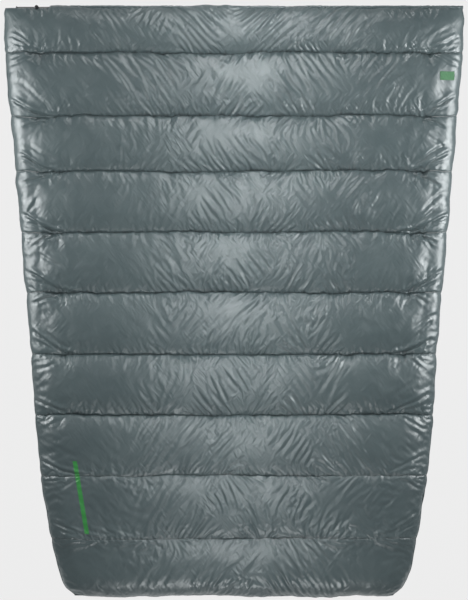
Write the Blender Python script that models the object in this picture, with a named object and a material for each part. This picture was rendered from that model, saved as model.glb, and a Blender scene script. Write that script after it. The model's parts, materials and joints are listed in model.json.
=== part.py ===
"""Two-person down camp quilt, laid flat with its lining on the ground.

Frame: metres, +Z up, +Y towards the neck edge, +X to the right when the quilt is seen
from above with the neck at the top.  The origin is the centre of the footprint on the
ground plane.  "Left" pieces are at -X and "right" pieces at +X.

The quilt is ten down rows sewn side to side.  Row 1, at the neck, is the draft collar,
rows 2 to 6 carry a loose draft edge on each side, and rows 7 to 10 form a closed footbox
over a thin padded base.  Low baffle walls stand under the seams between the rows.
"""

import math

import bmesh
import bpy
from mathutils import Matrix, Vector

# ---------------------------------------------------------------- driving dimensions
LENGTH = 1.930                      # neck edge to foot edge
ROW_PITCH = (0.154, 0.206, 0.183, 0.199, 0.199, 0.199, 0.199, 0.196, 0.206, 0.189)
LOOSE_ROWS = range(2, 7)
FOOT_ROWS = range(7, 11)
LAST_ROW = len(ROW_PITCH)
NECK_HALF = 0.7495                  # half width at the neck
DRAFT_OUT = (0.748, 0.661)          # half width over the draft edges, seams 1-2 and 6-7
DRAFT_IN = (0.653, 0.616)           # half width of the seam that carries the drafts
# footbox outline: (y, half width)
FOOT_OUTLINE = ((-0.3765, 0.650), (-0.5725, 0.630), (-0.7785, 0.596),
                (-0.900, 0.568), (-0.945, 0.548), (-0.965, 0.522))

SEAM_Z = 0.022                      # height of the fold line, rows 1 to 6
FOOT_SEAM_Z = 0.030                 # the same in the footbox, over its base
LOFT_UP = 0.042                     # crown above the fold line
LOFT_DOWN = 0.0206                  # belly below the fold line
FOOT_LOFT_DOWN = 0.0155
CLOTH = 0.001                       # cloth thickness
CLOTH_GAP = 0.0004                  # cloth to fold line
SEAM_NECK_GAP = 0.0008              # seam to the neck edge of a row's cloth
SEAM_FOOT_GAP = 0.0080              # seam to the foot edge of a row's cloth

HEM_R = 0.006                       # the hem runs along the neck edge
HEM_Y = LENGTH / 2 - HEM_R
HEM_ROW_GAP = 0.0008                # hem to collar cloth

# stations across a row (share of its pitch) and the share of the loft there
ROW_STATIONS = (0.0, 0.055, 0.13, 0.27, 0.5, 0.73, 0.87, 0.945, 1.0)
CROWN_SHARES = (0.0, 0.27, 0.52, 0.85, 1.0, 0.85, 0.52, 0.27, 0.0)
BELLY_SHARES = (0.0, 0.45, 0.78, 1.0, 1.0, 1.0, 0.78, 0.45, 0.0)
# side edge profile: (distance in from the edge, share of the loft)
SIDE_PROFILE = ((0.0, 0.0), (0.035, 0.62), (0.105, 1.0))

SIDES = (("left", -1), ("right", 1))

SEAM_Y = [LENGTH / 2]               # SEAM_Y[n] is the foot-side seam of row n
for pitch in ROW_PITCH:
    SEAM_Y.append(SEAM_Y[-1] - pitch)


# ---------------------------------------------------------------- materials
def material(name, colour, roughness, metallic=0.0):
    made = bpy.data.materials.new(name)
    made.use_nodes = True
    shader = made.node_tree.nodes["Principled BSDF"]
    shader.inputs["Base Color"].default_value = (*colour, 1.0)
    shader.inputs["Roughness"].default_value = roughness
    shader.inputs["Metallic"].default_value = metallic
    return made


SHELL = material("shell_cloth", colour=(0.115, 0.150, 0.158), roughness=0.38)
LINING = material("lining_cloth", colour=(0.19, 0.215, 0.225), roughness=0.45)
DOWN = material("down_fill", colour=(0.80, 0.79, 0.76), roughness=0.95)
WALL = material("baffle_mesh", colour=(0.32, 0.34, 0.35), roughness=0.80)
CORD = material("cord", colour=(0.035, 0.04, 0.042), roughness=0.70)
PLASTIC = material("black_plastic", colour=(0.02, 0.021, 0.022), roughness=0.42)
STEEL = material("spring_steel", colour=(0.62, 0.62, 0.63), roughness=0.30, metallic=1.0)
WEBBING = material("webbing", colour=(0.05, 0.056, 0.06), roughness=0.75)
ELASTIC = material("elastic", colour=(0.045, 0.05, 0.053), roughness=0.72)
ACCENT = material("accent_green", colour=(0.10, 0.46, 0.13), roughness=0.55)
SNAP = material("snap_metal", colour=(0.30, 0.31, 0.32), roughness=0.32, metallic=1.0)


# ---------------------------------------------------------------- mesh helpers
def finish(name, bm, mat, smooth=True, sharp_degrees=None):
    """Turns a bmesh into a linked object with outward normals."""
    bmesh.ops.recalc_face_normals(bm, faces=bm.faces)
    mesh = bpy.data.meshes.new(name)
    bm.to_mesh(mesh)
    bm.free()
    if smooth:
        mesh.shade_smooth()
    if sharp_degrees is not None:
        mesh.set_sharp_from_angle(angle=math.radians(sharp_degrees))
    mesh.materials.append(mat)
    obj = bpy.data.objects.new(name, mesh)
    bpy.context.scene.collection.objects.link(obj)
    return obj


def slab(name, columns, rows, upper, lower, mat):
    """A closed solid between two height fields on one grid.

    columns(y) gives the x stations at y, rows lists the y stations, and upper and lower
    give z at (x station index, y station index)."""
    bm = bmesh.new()
    top, bottom = [], []
    for j, y in enumerate(rows):
        xs = columns(y)
        top.append([bm.verts.new((x, y, upper(i, j))) for i, x in enumerate(xs)])
        bottom.append([bm.verts.new((x, y, lower(i, j))) for i, x in enumerate(xs)])
    last_row, last_column = len(rows) - 1, len(top[0]) - 1
    for j in range(last_row):
        for i in range(last_column):
            for grid in (top, bottom):
                a, b, c, d = grid[j][i], grid[j][i + 1], grid[j + 1][i + 1], grid[j + 1][i]
                # one diagonal on the first half of the columns, its mirror on the rest
                if i < last_column / 2:
                    bm.faces.new((a, b, c))
                    bm.faces.new((a, c, d))
                else:
                    bm.faces.new((a, b, d))
                    bm.faces.new((b, c, d))
    for j in range(last_row):
        for i in (0, last_column):
            bm.faces.new((top[j][i], top[j + 1][i], bottom[j + 1][i], bottom[j][i]))
    for i in range(last_column):
        for j in (0, last_row):
            bm.faces.new((top[j][i], top[j][i + 1], bottom[j][i + 1], bottom[j][i]))
    return finish(name, bm, mat, sharp_degrees=50)


def prism(name, outline, axis, span, mat):
    """A flat outline, in the two other axes in order, extruded over a span of an axis."""
    bm = bmesh.new()
    ends = []
    for along in span:
        ring = []
        for point in outline:
            spot = list(point)
            spot.insert(axis, along)
            ring.append(bm.verts.new(spot))
        ends.append(ring)
    near, far = ends
    bm.faces.new(near)
    bm.faces.new(far)
    for k in range(len(outline)):
        m = (k + 1) % len(outline)
        bm.faces.new((near[k], near[m], far[m], far[k]))
    return finish(name, bm, mat, smooth=False)


def lathe(name, profile, segments, mat, centre_x=0.0):
    """Turns a (radius, z) profile about an upright axis.  The profile starts and ends on
    the axis, where it has a single vertex."""
    bm = bmesh.new()
    rings = []
    turns = [2 * math.pi * (k + 0.5) / segments for k in range(segments)]
    for r, z in profile:
        if r == 0.0:
            rings.append([bm.verts.new((centre_x, 0, z))])
        else:
            rings.append([bm.verts.new((centre_x + r * math.cos(t), r * math.sin(t), z))
                          for t in turns])
    for a, b in zip(rings, rings[1:]):
        for k in range(segments):
            m = (k + 1) % segments
            corners = [a[k % len(a)], a[m % len(a)], b[m % len(b)], b[k % len(b)]]
            bm.faces.new([c for n, c in enumerate(corners) if c not in corners[:n]])
    return finish(name, bm, mat, sharp_degrees=40)


def skin(bm, rings):
    """Joins equal rings of vertices into a capped tube."""
    count = len(rings[0])
    for a, b in zip(rings, rings[1:]):
        for k in range(count):
            m = (k + 1) % count
            bm.faces.new((a[k], a[m], b[m], b[k]))
    bm.faces.new(rings[0])
    bm.faces.new(rings[-1])


def circle(radius, sides):
    turns = [2 * math.pi * k / sides for k in range(sides)]
    return [(radius * math.cos(t), radius * math.sin(t)) for t in turns]


def rod(name, path, radius, sides, mat):
    """A round rod along a path that is nowhere near vertical."""
    bm = bmesh.new()
    rings = []
    for k, point in enumerate(path):
        before = path[max(k - 1, 0)]
        after = path[min(k + 1, len(path) - 1)]
        along = (Vector(after) - Vector(before)).normalized()
        side = along.cross(Vector((0, 0, 1))).normalized()
        up = side.cross(along).normalized()
        rings.append([bm.verts.new(Vector(point) + side * s + up * u)
                      for s, u in circle(radius, sides)])
    skin(bm, rings)
    return finish(name, bm, mat, sharp_degrees=50)


def cut(obj, cutter):
    cutter.hide_render = True
    cutter.display_type = "WIRE"
    modifier = obj.modifiers.new("cut_" + cutter.name, "BOOLEAN")
    modifier.operation = "DIFFERENCE"
    modifier.solver = "EXACT"
    modifier.object = cutter


def empty(name, location):
    made = bpy.data.objects.new(name, None)
    made.empty_display_size = 0.04
    made.location = location
    bpy.context.scene.collection.objects.link(made)
    return made


def hang(obj, pivot):
    """Parents a piece to an empty, keeping the piece's own transform in world terms."""
    obj.parent = pivot
    obj.matrix_parent_inverse = Matrix.Translation(-pivot.location)


def hang_at(obj, pivot, turn_y=0.0):
    """Moves a piece modelled about its own origin to an empty, then parents it."""
    obj.location = pivot.location
    obj.rotation_euler = (0.0, turn_y, 0.0)
    hang(obj, pivot)


# ---------------------------------------------------------------- outline and loft
def lerp_table(points, value):
    """Piecewise-linear look-up in a table of (position, value) rows."""
    points = sorted(points)
    if value <= points[0][0]:
        return points[0][1]
    for (a, fa), (b, fb) in zip(points, points[1:]):
        if value <= b:
            return fa + (fb - fa) * (value - a) / (b - a)
    return points[-1][1]


def half_neck(y):
    """Half width of the collar, the same at every y."""
    return NECK_HALF


def half_out(y):
    """Half width of the finished outline at y."""
    table = [(SEAM_Y[0], NECK_HALF), (SEAM_Y[1], DRAFT_OUT[0]), (SEAM_Y[6], DRAFT_OUT[1])]
    return lerp_table(table + list(FOOT_OUTLINE), y)


def half_in(y):
    """Half width of the seam between a row and its draft edge."""
    return lerp_table([(SEAM_Y[1], DRAFT_IN[0]), (SEAM_Y[6], DRAFT_IN[1])], y)


def side_columns(half, inset=0.0):
    """x stations for a half-width function, the outermost set in from the edge."""
    distances = (inset, SIDE_PROFILE[1][0], SIDE_PROFILE[2][0])

    def columns(y):
        w = half(y)
        return [-w + d for d in distances] + [w - d for d in reversed(distances)]
    return columns


def side_shares(inset=0.0):
    """Share of the loft at each station of side_columns."""
    left = (lerp_table(SIDE_PROFILE, inset), SIDE_PROFILE[1][1], SIDE_PROFILE[2][1])
    return left + left[::-1]


EDGE_SHARES = side_shares()


def row_stations(y_neck, y_foot):
    return [y_neck + (y_foot - y_neck) * s for s in ROW_STATIONS]


WALL_HALF = 0.006                   # half height of a baffle wall


def bulge(side_share, row_share, wall_share, loft):
    """Distance from the fold line: the wall height at a seam, the full loft mid-row."""
    return (WALL_HALF * wall_share + (loft - WALL_HALF) * row_share) * side_share


# ---------------------------------------------------------------- rows
DOWN_GAP = 0.0022                   # down to the lining
DOWN_RISE = 0.06                    # share of the upper loft that the down fills
DOWN_SIDE_INSET = 0.026
DOWN_END_INSET = 0.0025             # down to the cloth's neck and foot edges
DOWN_COLLAR_INSET = 0.0040          # the same at the closed neck edge
DOWN_TOE_INSET = 0.009              # the same at the closed foot edge
DOWN_MIN_DEPTH = 0.0008             # least depth of the down below the fold line
FOOT_DOWN_LIFT = 0.0012             # footbox down above its fold line
CLOSED_NECK_WALLS = (0.0, 0.5)      # share of the wall height from a closed neck edge
CLOSED_FOOT_WALLS = (0.5, 0.0)      # and up to a closed foot edge
TOE_DOWN_WALLS = (0.5, 0.45)        # the same for the down at the foot edge


def build_cloth(tag, half, rows, crown, belly, walls, seam_z, loft_down):
    """The shell and the lining over one set of y stations."""
    columns = side_columns(half)

    def top(i, j):
        return seam_z + CLOTH_GAP + bulge(EDGE_SHARES[i], crown[j], walls[j], LOFT_UP)

    def low(i, j):
        return seam_z - CLOTH_GAP - bulge(EDGE_SHARES[i], belly[j], walls[j], loft_down)

    shell = slab("shell_" + tag, columns, rows, lambda i, j: top(i, j) + CLOTH, top, SHELL)
    lining = slab("lining_" + tag, columns, rows, low, lambda i, j: low(i, j) - CLOTH, LINING)
    return [shell, lining]


def build_down(tag, half, rows, walls, seam_z, loft_down,
               neck_inset=DOWN_END_INSET, foot_inset=DOWN_END_INSET, lift=0.0):
    """The down of one row, set in from its cloth.  rows are the cloth's y stations."""
    neck_share = neck_inset / abs(rows[1] - rows[0])
    foot_share = foot_inset / abs(rows[-1] - rows[-2])

    def trimmed(shares):
        return (shares[1] * neck_share, *shares[1:-1], shares[-2] * foot_share)

    crown, belly = trimmed(CROWN_SHARES), trimmed(BELLY_SHARES)
    sides = side_shares(DOWN_SIDE_INSET)

    def top(i, j):
        return seam_z + lift + DOWN_RISE * bulge(sides[i], crown[j], walls[j], LOFT_UP)

    def low(i, j):
        depth = bulge(sides[i], belly[j], walls[j], loft_down)
        return min(seam_z - CLOTH_GAP + DOWN_GAP - depth, seam_z - DOWN_MIN_DEPTH)

    down_rows = [rows[0] - neck_inset] + rows[1:-1] + [rows[-1] + foot_inset]
    return slab("down_" + tag, side_columns(half, DOWN_SIDE_INSET), down_rows, top, low, DOWN)


def build_collar():
    rows = row_stations(HEM_Y - HEM_R - HEM_ROW_GAP, SEAM_Y[1] + SEAM_FOOT_GAP)
    walls = [*CLOSED_NECK_WALLS] + [1.0] * (len(rows) - 2)
    build_cloth("collar", half_neck, rows, CROWN_SHARES, BELLY_SHARES, walls, SEAM_Z, LOFT_DOWN)
    down_start = walls[1] * DOWN_COLLAR_INSET / abs(rows[1] - rows[0])
    build_down("collar", half_neck, rows, [down_start] + walls[1:], SEAM_Z, LOFT_DOWN,
               neck_inset=DOWN_COLLAR_INSET)


def build_loose_row(n):
    """One of rows 2 to 6, hung on the fold axis at its foot-side seam."""
    tag = f"row_{n}"
    rows = row_stations(SEAM_Y[n - 1] - SEAM_NECK_GAP, SEAM_Y[n] + SEAM_FOOT_GAP)
    walls = [1.0] * len(rows)
    pieces = build_cloth(tag, half_in, rows, CROWN_SHARES, BELLY_SHARES, walls,
                         SEAM_Z, LOFT_DOWN)
    pieces.append(build_down(tag, half_in, rows, walls, SEAM_Z, LOFT_DOWN))
    pivot = empty(f"fold_{n}_axis", (0, SEAM_Y[n], SEAM_Z))
    for piece in pieces:
        hang(piece, pivot)


# ---------------------------------------------------------------- footbox
def foot_row_stations(n):
    gap = SEAM_NECK_GAP if n == FOOT_ROWS[0] else 0.0
    return row_stations(SEAM_Y[n - 1] - gap, SEAM_Y[n])


def chained(row_lists):
    """Joins the stations of neighbouring rows, which share the one at each seam."""
    joined = []
    for stations in row_lists:
        joined = joined[:-1] + list(stations)
    return joined


def chained_shares(shares):
    return chained([shares] * len(FOOT_ROWS))


# One grid for the footbox shell, lining and base.  Each row starts on its neck-side
# seam, which is also the previous row's foot-side seam.
FOOT_Y = chained([foot_row_stations(n) for n in FOOT_ROWS])
FOOT_BELLY = chained_shares(BELLY_SHARES)
FOOT_WALLS = [1.0] * (len(FOOT_Y) - 2) + [*CLOSED_FOOT_WALLS]

BASE_THICK = 0.0070                 # padded base
BASE_MOUTH_SHARES = (0.40, 0.75, 1.0)   # share of its thickness from the mouth edge on
BASE_GAP = 0.0010                   # lining to base
BASE_FROM = 1                       # mouth edge of the base, in grid rows
BASE_FOOT_ROWS = 3                  # grid rows at the foot that may rise to the lining
BASE_RIM_DROP = 0.004               # underside of the rim below the fold line
BASE_FOOT_RISE = (1.0, 0.42, 0.0)   # share of the rim height, from the foot edge inwards
BASE_RIM_THICK = 0.0012             # least thickness, where the ground allows it


def build_footbox():
    """One shell and one lining over four rows, with separate down in each row."""
    build_cloth("footbox", half_out, FOOT_Y, chained_shares(CROWN_SHARES), FOOT_BELLY,
                FOOT_WALLS, FOOT_SEAM_Z, FOOT_LOFT_DOWN)
    for n in FOOT_ROWS:
        rows = foot_row_stations(n)
        walls = [1.0] * len(rows)
        foot_inset = DOWN_END_INSET
        if n == LAST_ROW:
            walls[-2:] = TOE_DOWN_WALLS
            foot_inset = DOWN_TOE_INSET
        build_down(f"row_{n}", half_out, rows, walls, FOOT_SEAM_Z, FOOT_LOFT_DOWN,
                   foot_inset=foot_inset, lift=FOOT_DOWN_LIFT)


def build_footbox_base():
    """A shallow tray on the lining's own grid, its rim a fixed gap under the lining."""
    def upper(i, j):
        k = j + BASE_FROM
        thick = BASE_THICK * BASE_MOUTH_SHARES[min(j, 2)]
        if EDGE_SHARES[i] == 1.0 and k < len(FOOT_Y) - BASE_FOOT_ROWS:
            return thick
        depth = bulge(EDGE_SHARES[i], FOOT_BELLY[k], FOOT_WALLS[k], FOOT_LOFT_DOWN)
        return max(thick, FOOT_SEAM_Z - CLOTH_GAP - depth - CLOTH - BASE_GAP)

    def lower(i, j):
        from_foot = len(FOOT_Y) - 1 - (j + BASE_FROM)
        rise = max(1.0 - EDGE_SHARES[i], BASE_FOOT_RISE[min(from_foot, 2)])
        rim = upper(i, j) - BASE_RIM_THICK
        return max(0.0, min(rim, (FOOT_SEAM_Z - BASE_RIM_DROP) * rise))

    slab("footbox_base", side_columns(half_out), FOOT_Y[BASE_FROM:], upper, lower, SHELL)


# ---------------------------------------------------------------- baffle walls
WALL_THICK = 0.0006
WALL_INSET = 0.012                  # wall end to side edge


def build_wall(n):
    """The strip on edge at the seam after row n, lower towards the side edges."""
    y = SEAM_Y[n]
    half, z = (half_out, FOOT_SEAM_Z) if n in FOOT_ROWS else (half_in, SEAM_Z)
    stations = list(zip(side_columns(half, WALL_INSET)(y), side_shares(WALL_INSET)))
    upper = [(x, z + WALL_HALF * share) for x, share in stations]
    lower = [(x, z - WALL_HALF * share) for x, share in stations]
    prism(f"baffle_{n}_{n + 1}", upper + lower[::-1], 1,
          (y - WALL_THICK / 2, y + WALL_THICK / 2), WALL)


# ---------------------------------------------------------------- draft edges
DRAFT_UP = 0.0165                   # loft above and below the middle surface
DRAFT_DOWN = 0.0145
DRAFT_OUTER_Z = 0.014               # height of the outer edge
DRAFT_END_GAP = 0.006               # clearance of a draft length from each row seam
DRAFT_ROOT_GAP = 0.0028             # and from its own hinge line
DRAFT_EDGE_HALF = 0.0007            # half thickness at the edges
DRAFT_END_LOFT = 0.16               # share of the loft left at the pinched ends
# along a length: (share of the length, share of the loft that comes off at the ends)
DRAFT_ALONG = ((0.0, 0.0), (0.10, 0.62), (0.30, 1.0), (0.70, 1.0), (0.90, 0.62), (1.0, 0.0))
# from hinge to outer edge: (share of the width, share of the loft)
DRAFT_ACROSS = ((0.0, 0.0), (0.20, 0.62), (0.45, 1.0), (0.75, 0.86), (0.93, 0.45), (1.0, 0.0))


def build_draft(side, sign, n):
    """One length of draft edge: a thin padded tube beside row n, pinched at both ends."""
    y_neck, y_foot = SEAM_Y[n - 1] - DRAFT_END_GAP, SEAM_Y[n] + DRAFT_END_GAP
    rows = [y_neck + (y_foot - y_neck) * s for s, _ in DRAFT_ALONG]

    def columns(y):
        root, outer = half_in(y) + DRAFT_ROOT_GAP, half_out(y)
        return [sign * (root + (outer - root) * s) for s, _ in DRAFT_ACROSS]

    def surface(direction, loft):
        def z_at(i, j):
            across, lens = DRAFT_ACROSS[i]
            middle = SEAM_Z + (DRAFT_OUTER_Z - SEAM_Z) * across
            pinch = DRAFT_END_LOFT + (1 - DRAFT_END_LOFT) * DRAFT_ALONG[j][1]
            return middle + direction * (DRAFT_EDGE_HALF + loft * lens * pinch)
        return z_at

    draft = slab(f"draft_{side}_{n}", columns, rows,
                 surface(1, DRAFT_UP), surface(-1, DRAFT_DOWN), SHELL)
    y_mid = (SEAM_Y[n - 1] + SEAM_Y[n]) / 2
    hang(draft, empty(f"draft_{side}_{n}_axis", (sign * half_in(y_mid), y_mid, SEAM_Z)))


# ---------------------------------------------------------------- neck hem and drawcord
HEM_BORE = 0.0036                   # bore radius
HEM_LEFT = -0.600                   # tunnel mouth, where the cord comes out
HEM_RIGHT = NECK_HALF - 0.0005
BORE_LEFT = HEM_LEFT - 0.01         # the bore overshoots the mouth
BORE_RIGHT = NECK_HALF - 0.006      # and stops short of the right end
CORD_R = 0.0015
CORD_SIDES = 10
# (x, radius) along the cord, with a knot at its left end
CORD_PROFILE = ((-0.7145, 0.0012), (-0.713, 0.0030), (-0.7095, 0.0036), (-0.706, 0.0030),
                (-0.7045, CORD_R), (0.700, CORD_R))


def build_hem():
    """The cord tunnel along the neck edge."""
    hem = rod("neck_hem", [(HEM_LEFT, HEM_Y, SEAM_Z), (HEM_RIGHT, HEM_Y, SEAM_Z)],
              HEM_R, 16, SHELL)
    bore = rod("hem_bore", [(BORE_LEFT, HEM_Y, SEAM_Z), (BORE_RIGHT, HEM_Y, SEAM_Z)],
               HEM_BORE, 12, SHELL)
    cut(hem, bore)


def build_drawcord():
    bm = bmesh.new()
    rings = [[bm.verts.new((x, HEM_Y + p, SEAM_Z + q)) for p, q in circle(r, CORD_SIDES)]
             for x, r in CORD_PROFILE]
    skin(bm, rings)
    finish("drawcord", bm, CORD)


# ---------------------------------------------------------------- cord lock
LOCK_X, LOCK_R, LOCK_BORE = -0.645, 0.0060, 0.0044
LOCK_LOW, LOCK_HIGH = 0.0085, 0.0275
LOCK_FLOOR_Z = LOCK_LOW + 0.0012    # bottom of the barrel's bore
LOCK_FOOT_CHAMFER, LOCK_RIM_CHAMFER = 0.0012, 0.0006
LOCK_RIM_DROP = 0.0008              # height of the rim chamfer
LOCK_HOLE_R = 0.0023                # cord hole through the barrel
LOCK_CUT_HALF = 0.012               # half length of the cutters along the cord
LOCK_SEGMENTS = 24
BUTTON_R, BUTTON_TRAVEL = 0.0040, 0.0035
BUTTON_FOOT_Z, BUTTON_FOOT_CHAMFER = 0.0168, 0.0006
# button head: (radius, z), from the stem up to the crown
BUTTON_HEAD = ((BUTTON_R, 0.0314), (0.0054, 0.0318), (0.0056, 0.0330),
               (0.0048, 0.0340), (0.0, 0.0345))
SLOT_HALF = 0.0020                  # half width of the button's cord slot
SPRING_R, SPRING_WIRE = 0.0029, 0.00042     # coil and wire radii
SPRING_TURNS, SPRING_STEPS = 3.0, 42
SPRING_GAP = 0.0004                 # wire to the barrel floor and to the button


def build_lock_body(axis):
    barrel = lathe("cord_lock_body", [
        (0.0, LOCK_LOW),
        (LOCK_R - LOCK_FOOT_CHAMFER, LOCK_LOW),
        (LOCK_R, LOCK_LOW + LOCK_FOOT_CHAMFER),
        (LOCK_R, LOCK_HIGH - LOCK_RIM_DROP),
        (LOCK_R - LOCK_RIM_CHAMFER, LOCK_HIGH),
        (LOCK_BORE, LOCK_HIGH),
        (LOCK_BORE, LOCK_FLOOR_Z),
        (0.0, LOCK_FLOOR_Z)], LOCK_SEGMENTS, PLASTIC)
    hang_at(barrel, axis)
    hole = rod("lock_cord_hole", [(LOCK_X - LOCK_CUT_HALF, HEM_Y, SEAM_Z),
                                  (LOCK_X + LOCK_CUT_HALF, HEM_Y, SEAM_Z)],
               LOCK_HOLE_R, 12, PLASTIC)
    cut(barrel, hole)


def build_lock_button(axis):
    """The push button, slotted for the cord over its whole travel."""
    button = lathe("cord_lock_button", [
        (0.0, BUTTON_FOOT_Z),
        (BUTTON_R - BUTTON_FOOT_CHAMFER, BUTTON_FOOT_Z),
        (BUTTON_R, BUTTON_FOOT_Z + BUTTON_FOOT_CHAMFER),
        *BUTTON_HEAD], LOCK_SEGMENTS, PLASTIC)
    hang_at(button, axis)
    low, high = SEAM_Z - SLOT_HALF, SEAM_Z + SLOT_HALF + BUTTON_TRAVEL
    near, far = HEM_Y - SLOT_HALF, HEM_Y + SLOT_HALF
    slot = prism("button_slot", [(near, low), (far, low), (far, high), (near, high)],
                 0, (LOCK_X - LOCK_CUT_HALF, LOCK_X + LOCK_CUT_HALF), PLASTIC)
    cut(button, slot)


def build_lock_spring():
    """The coil between the barrel floor and the button."""
    low = LOCK_FLOOR_Z + SPRING_WIRE + SPRING_GAP
    high = BUTTON_FOOT_Z - SPRING_WIRE - SPRING_GAP
    coil = []
    for k in range(SPRING_STEPS + 1):
        share = k / SPRING_STEPS
        angle = 2 * math.pi * SPRING_TURNS * share
        coil.append((LOCK_X + SPRING_R * math.cos(angle),
                     HEM_Y + SPRING_R * math.sin(angle),
                     low + (high - low) * share))
    rod("cord_lock_spring", coil, SPRING_WIRE, 6, STEEL)


def build_cord_lock():
    axis = empty("cord_lock_axis", (LOCK_X, HEM_Y, 0.0))
    build_lock_body(axis)
    build_lock_button(axis)
    build_lock_spring()


# ---------------------------------------------------------------- neck snap
TAB_LONG, TAB_WIDE, TAB_THICK = 0.021, 0.014, 0.0012
TAB_CORNER = 0.004                  # clipped corners at the free end
TAB_SLOPE = math.radians(40)        # downwards from the root
TAB_Y = 0.838
TAB_ROOT_X, TAB_ROOT_Z = NECK_HALF - 0.0010, SEAM_Z - 0.0032
SNAP_ALONG = 0.0135                 # snap centre from the tab's root
SNAP_HOLE_R, SNAP_HOLE_HALF = 0.0024, 0.004
SNAP_FACE = TAB_THICK / 2 + 0.0004  # metal face from the middle of the webbing
# (radius, distance out from the face) of the cap and shank, the same on both snaps
SNAP_CAP = ((0.0, 0.0012), (0.0040, 0.0012), (0.0048, 0.0005), (0.0048, 0.0), (0.0020, 0.0))
# the same for the working side of each snap
STUD_HEAD = ((0.0020, 0.0), (0.0034, 0.0), (0.0034, 0.0006), (0.0018, 0.0008),
             (0.0020, 0.0020), (0.0, 0.0022))
SOCKET_HEAD = ((0.0020, 0.0), (0.0046, 0.0), (0.0046, 0.0022), (0.0023, 0.0022),
               (0.0023, 0.0003), (0.0, 0.0003))


def build_snap_tab(side, sign, label, head, turn_y):
    """A webbing tab with its snap, sloping in and down from one end of the collar."""
    root = empty(f"snap_tab_{side}_axis", (sign * TAB_ROOT_X, TAB_Y, TAB_ROOT_Z))
    half = TAB_WIDE / 2
    web = prism(f"snap_tab_{side}", [
        (0.0, -half), (TAB_LONG - TAB_CORNER, -half), (TAB_LONG, -half + TAB_CORNER),
        (TAB_LONG, half - TAB_CORNER), (TAB_LONG - TAB_CORNER, half), (0.0, half)],
        2, (-TAB_THICK / 2, TAB_THICK / 2), WEBBING)
    punch = lathe(f"snap_hole_{side}", [
        (0.0, -SNAP_HOLE_HALF), (SNAP_HOLE_R, -SNAP_HOLE_HALF),
        (SNAP_HOLE_R, SNAP_HOLE_HALF), (0.0, SNAP_HOLE_HALF)],
        12, WEBBING, centre_x=SNAP_ALONG)
    cut(web, punch)
    profile = [(r, -SNAP_FACE - out) for r, out in SNAP_CAP]
    profile += [(r, SNAP_FACE + out) for r, out in head]
    metal = lathe(label, profile, 16, SNAP, centre_x=SNAP_ALONG)
    for piece in (web, metal, punch):
        hang_at(piece, root, turn_y)


# ---------------------------------------------------------------- mattress loops
LOOP_LONG, LOOP_REACH, LOOP_R = 0.058, 0.016, 0.0012
LOOP_INSET = 0.042                  # loop ends in from the row's side seam
LOOP_TILT = math.radians(10)        # downwards towards the tip
LOOP_Z = 0.0052
LOOP_STEPS = 14
LOOP_FULLNESS = 0.7                 # exponent on the bow; below 1 is blunter than a sine
LOOP_ROWS = (("neck", 3), ("foot", 5))


def build_loop(side, sign, tag, n):
    """A round elastic bow under the edge of row n, pointing inwards."""
    y_mid = (SEAM_Y[n - 1] + SEAM_Y[n]) / 2
    x_root = sign * (half_in(y_mid) - LOOP_INSET)
    path = []
    for k in range(LOOP_STEPS + 1):
        angle = math.pi * k / LOOP_STEPS
        reach = LOOP_REACH * math.sin(angle) ** LOOP_FULLNESS
        path.append((x_root - sign * reach * math.cos(LOOP_TILT),
                     y_mid - LOOP_LONG / 2 * math.cos(angle),
                     LOOP_Z - reach * math.sin(LOOP_TILT)))
    name = f"mattress_loop_{side}_{tag}"
    loop = rod(name, path, LOOP_R, 8, ELASTIC)
    hang(loop, empty(name + "_axis", (x_root, y_mid, LOOP_Z)))


# ---------------------------------------------------------------- accent tab
ACCENT_X = (0.671, 0.694, 0.719)    # inner edge, ridge, outer edge
ACCENT_Y = (0.7465, 0.7185)
ACCENT_TOP, ACCENT_LOW = 0.0372, 0.0364     # heights of the two faces at the ridge
ACCENT_FALL = 0.19                  # slope down on each side of the ridge


def build_accent_tab():
    """A plain coloured tab on the right draft edge."""
    def face(ridge_z):
        return lambda i, j: ridge_z - ACCENT_FALL * abs(ACCENT_X[i] - ACCENT_X[1])

    slab("accent_tab", lambda y: ACCENT_X, ACCENT_Y, face(ACCENT_TOP), face(ACCENT_LOW), ACCENT)


# ---------------------------------------------------------------- the build
for old in list(bpy.data.objects):
    bpy.data.objects.remove(old, do_unlink=True)

build_collar()
for number in LOOSE_ROWS:
    build_loose_row(number)
build_footbox()
build_footbox_base()
for number in range(1, LAST_ROW):
    build_wall(number)
for side_name, side_sign in SIDES:
    for number in LOOSE_ROWS:
        build_draft(side_name, side_sign, number)
    for loop_tag, number in LOOP_ROWS:
        build_loop(side_name, side_sign, loop_tag, number)
build_hem()
build_drawcord()
build_cord_lock()
build_snap_tab("left", -1, "snap_stud", STUD_HEAD, TAB_SLOPE)
build_snap_tab("right", 1, "snap_socket", SOCKET_HEAD, math.pi - TAB_SLOPE)
build_accent_tab()
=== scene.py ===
"""Looks of the two-person camp quilt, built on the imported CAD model.

The quilt lies flat just above z = 0: x runs across it, left being -x, and y runs from the
footbox (-y) up to the neck (+y).  Rows count from 1, the collar, to 10 at the foot; rows 7 to
10 are the footbox.  Seam k lies on the foot side of row k; seam 0 is the neck edge.

Each down row's shell is a cloth sheet relaxed by a small position-based cloth solver
(edge, shear and bending rules, pressure from the down, seams held).  The sheets are then
cut at the side seams into the row and its two draft edges, so that they meet exactly.
"""
import json
import math

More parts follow.
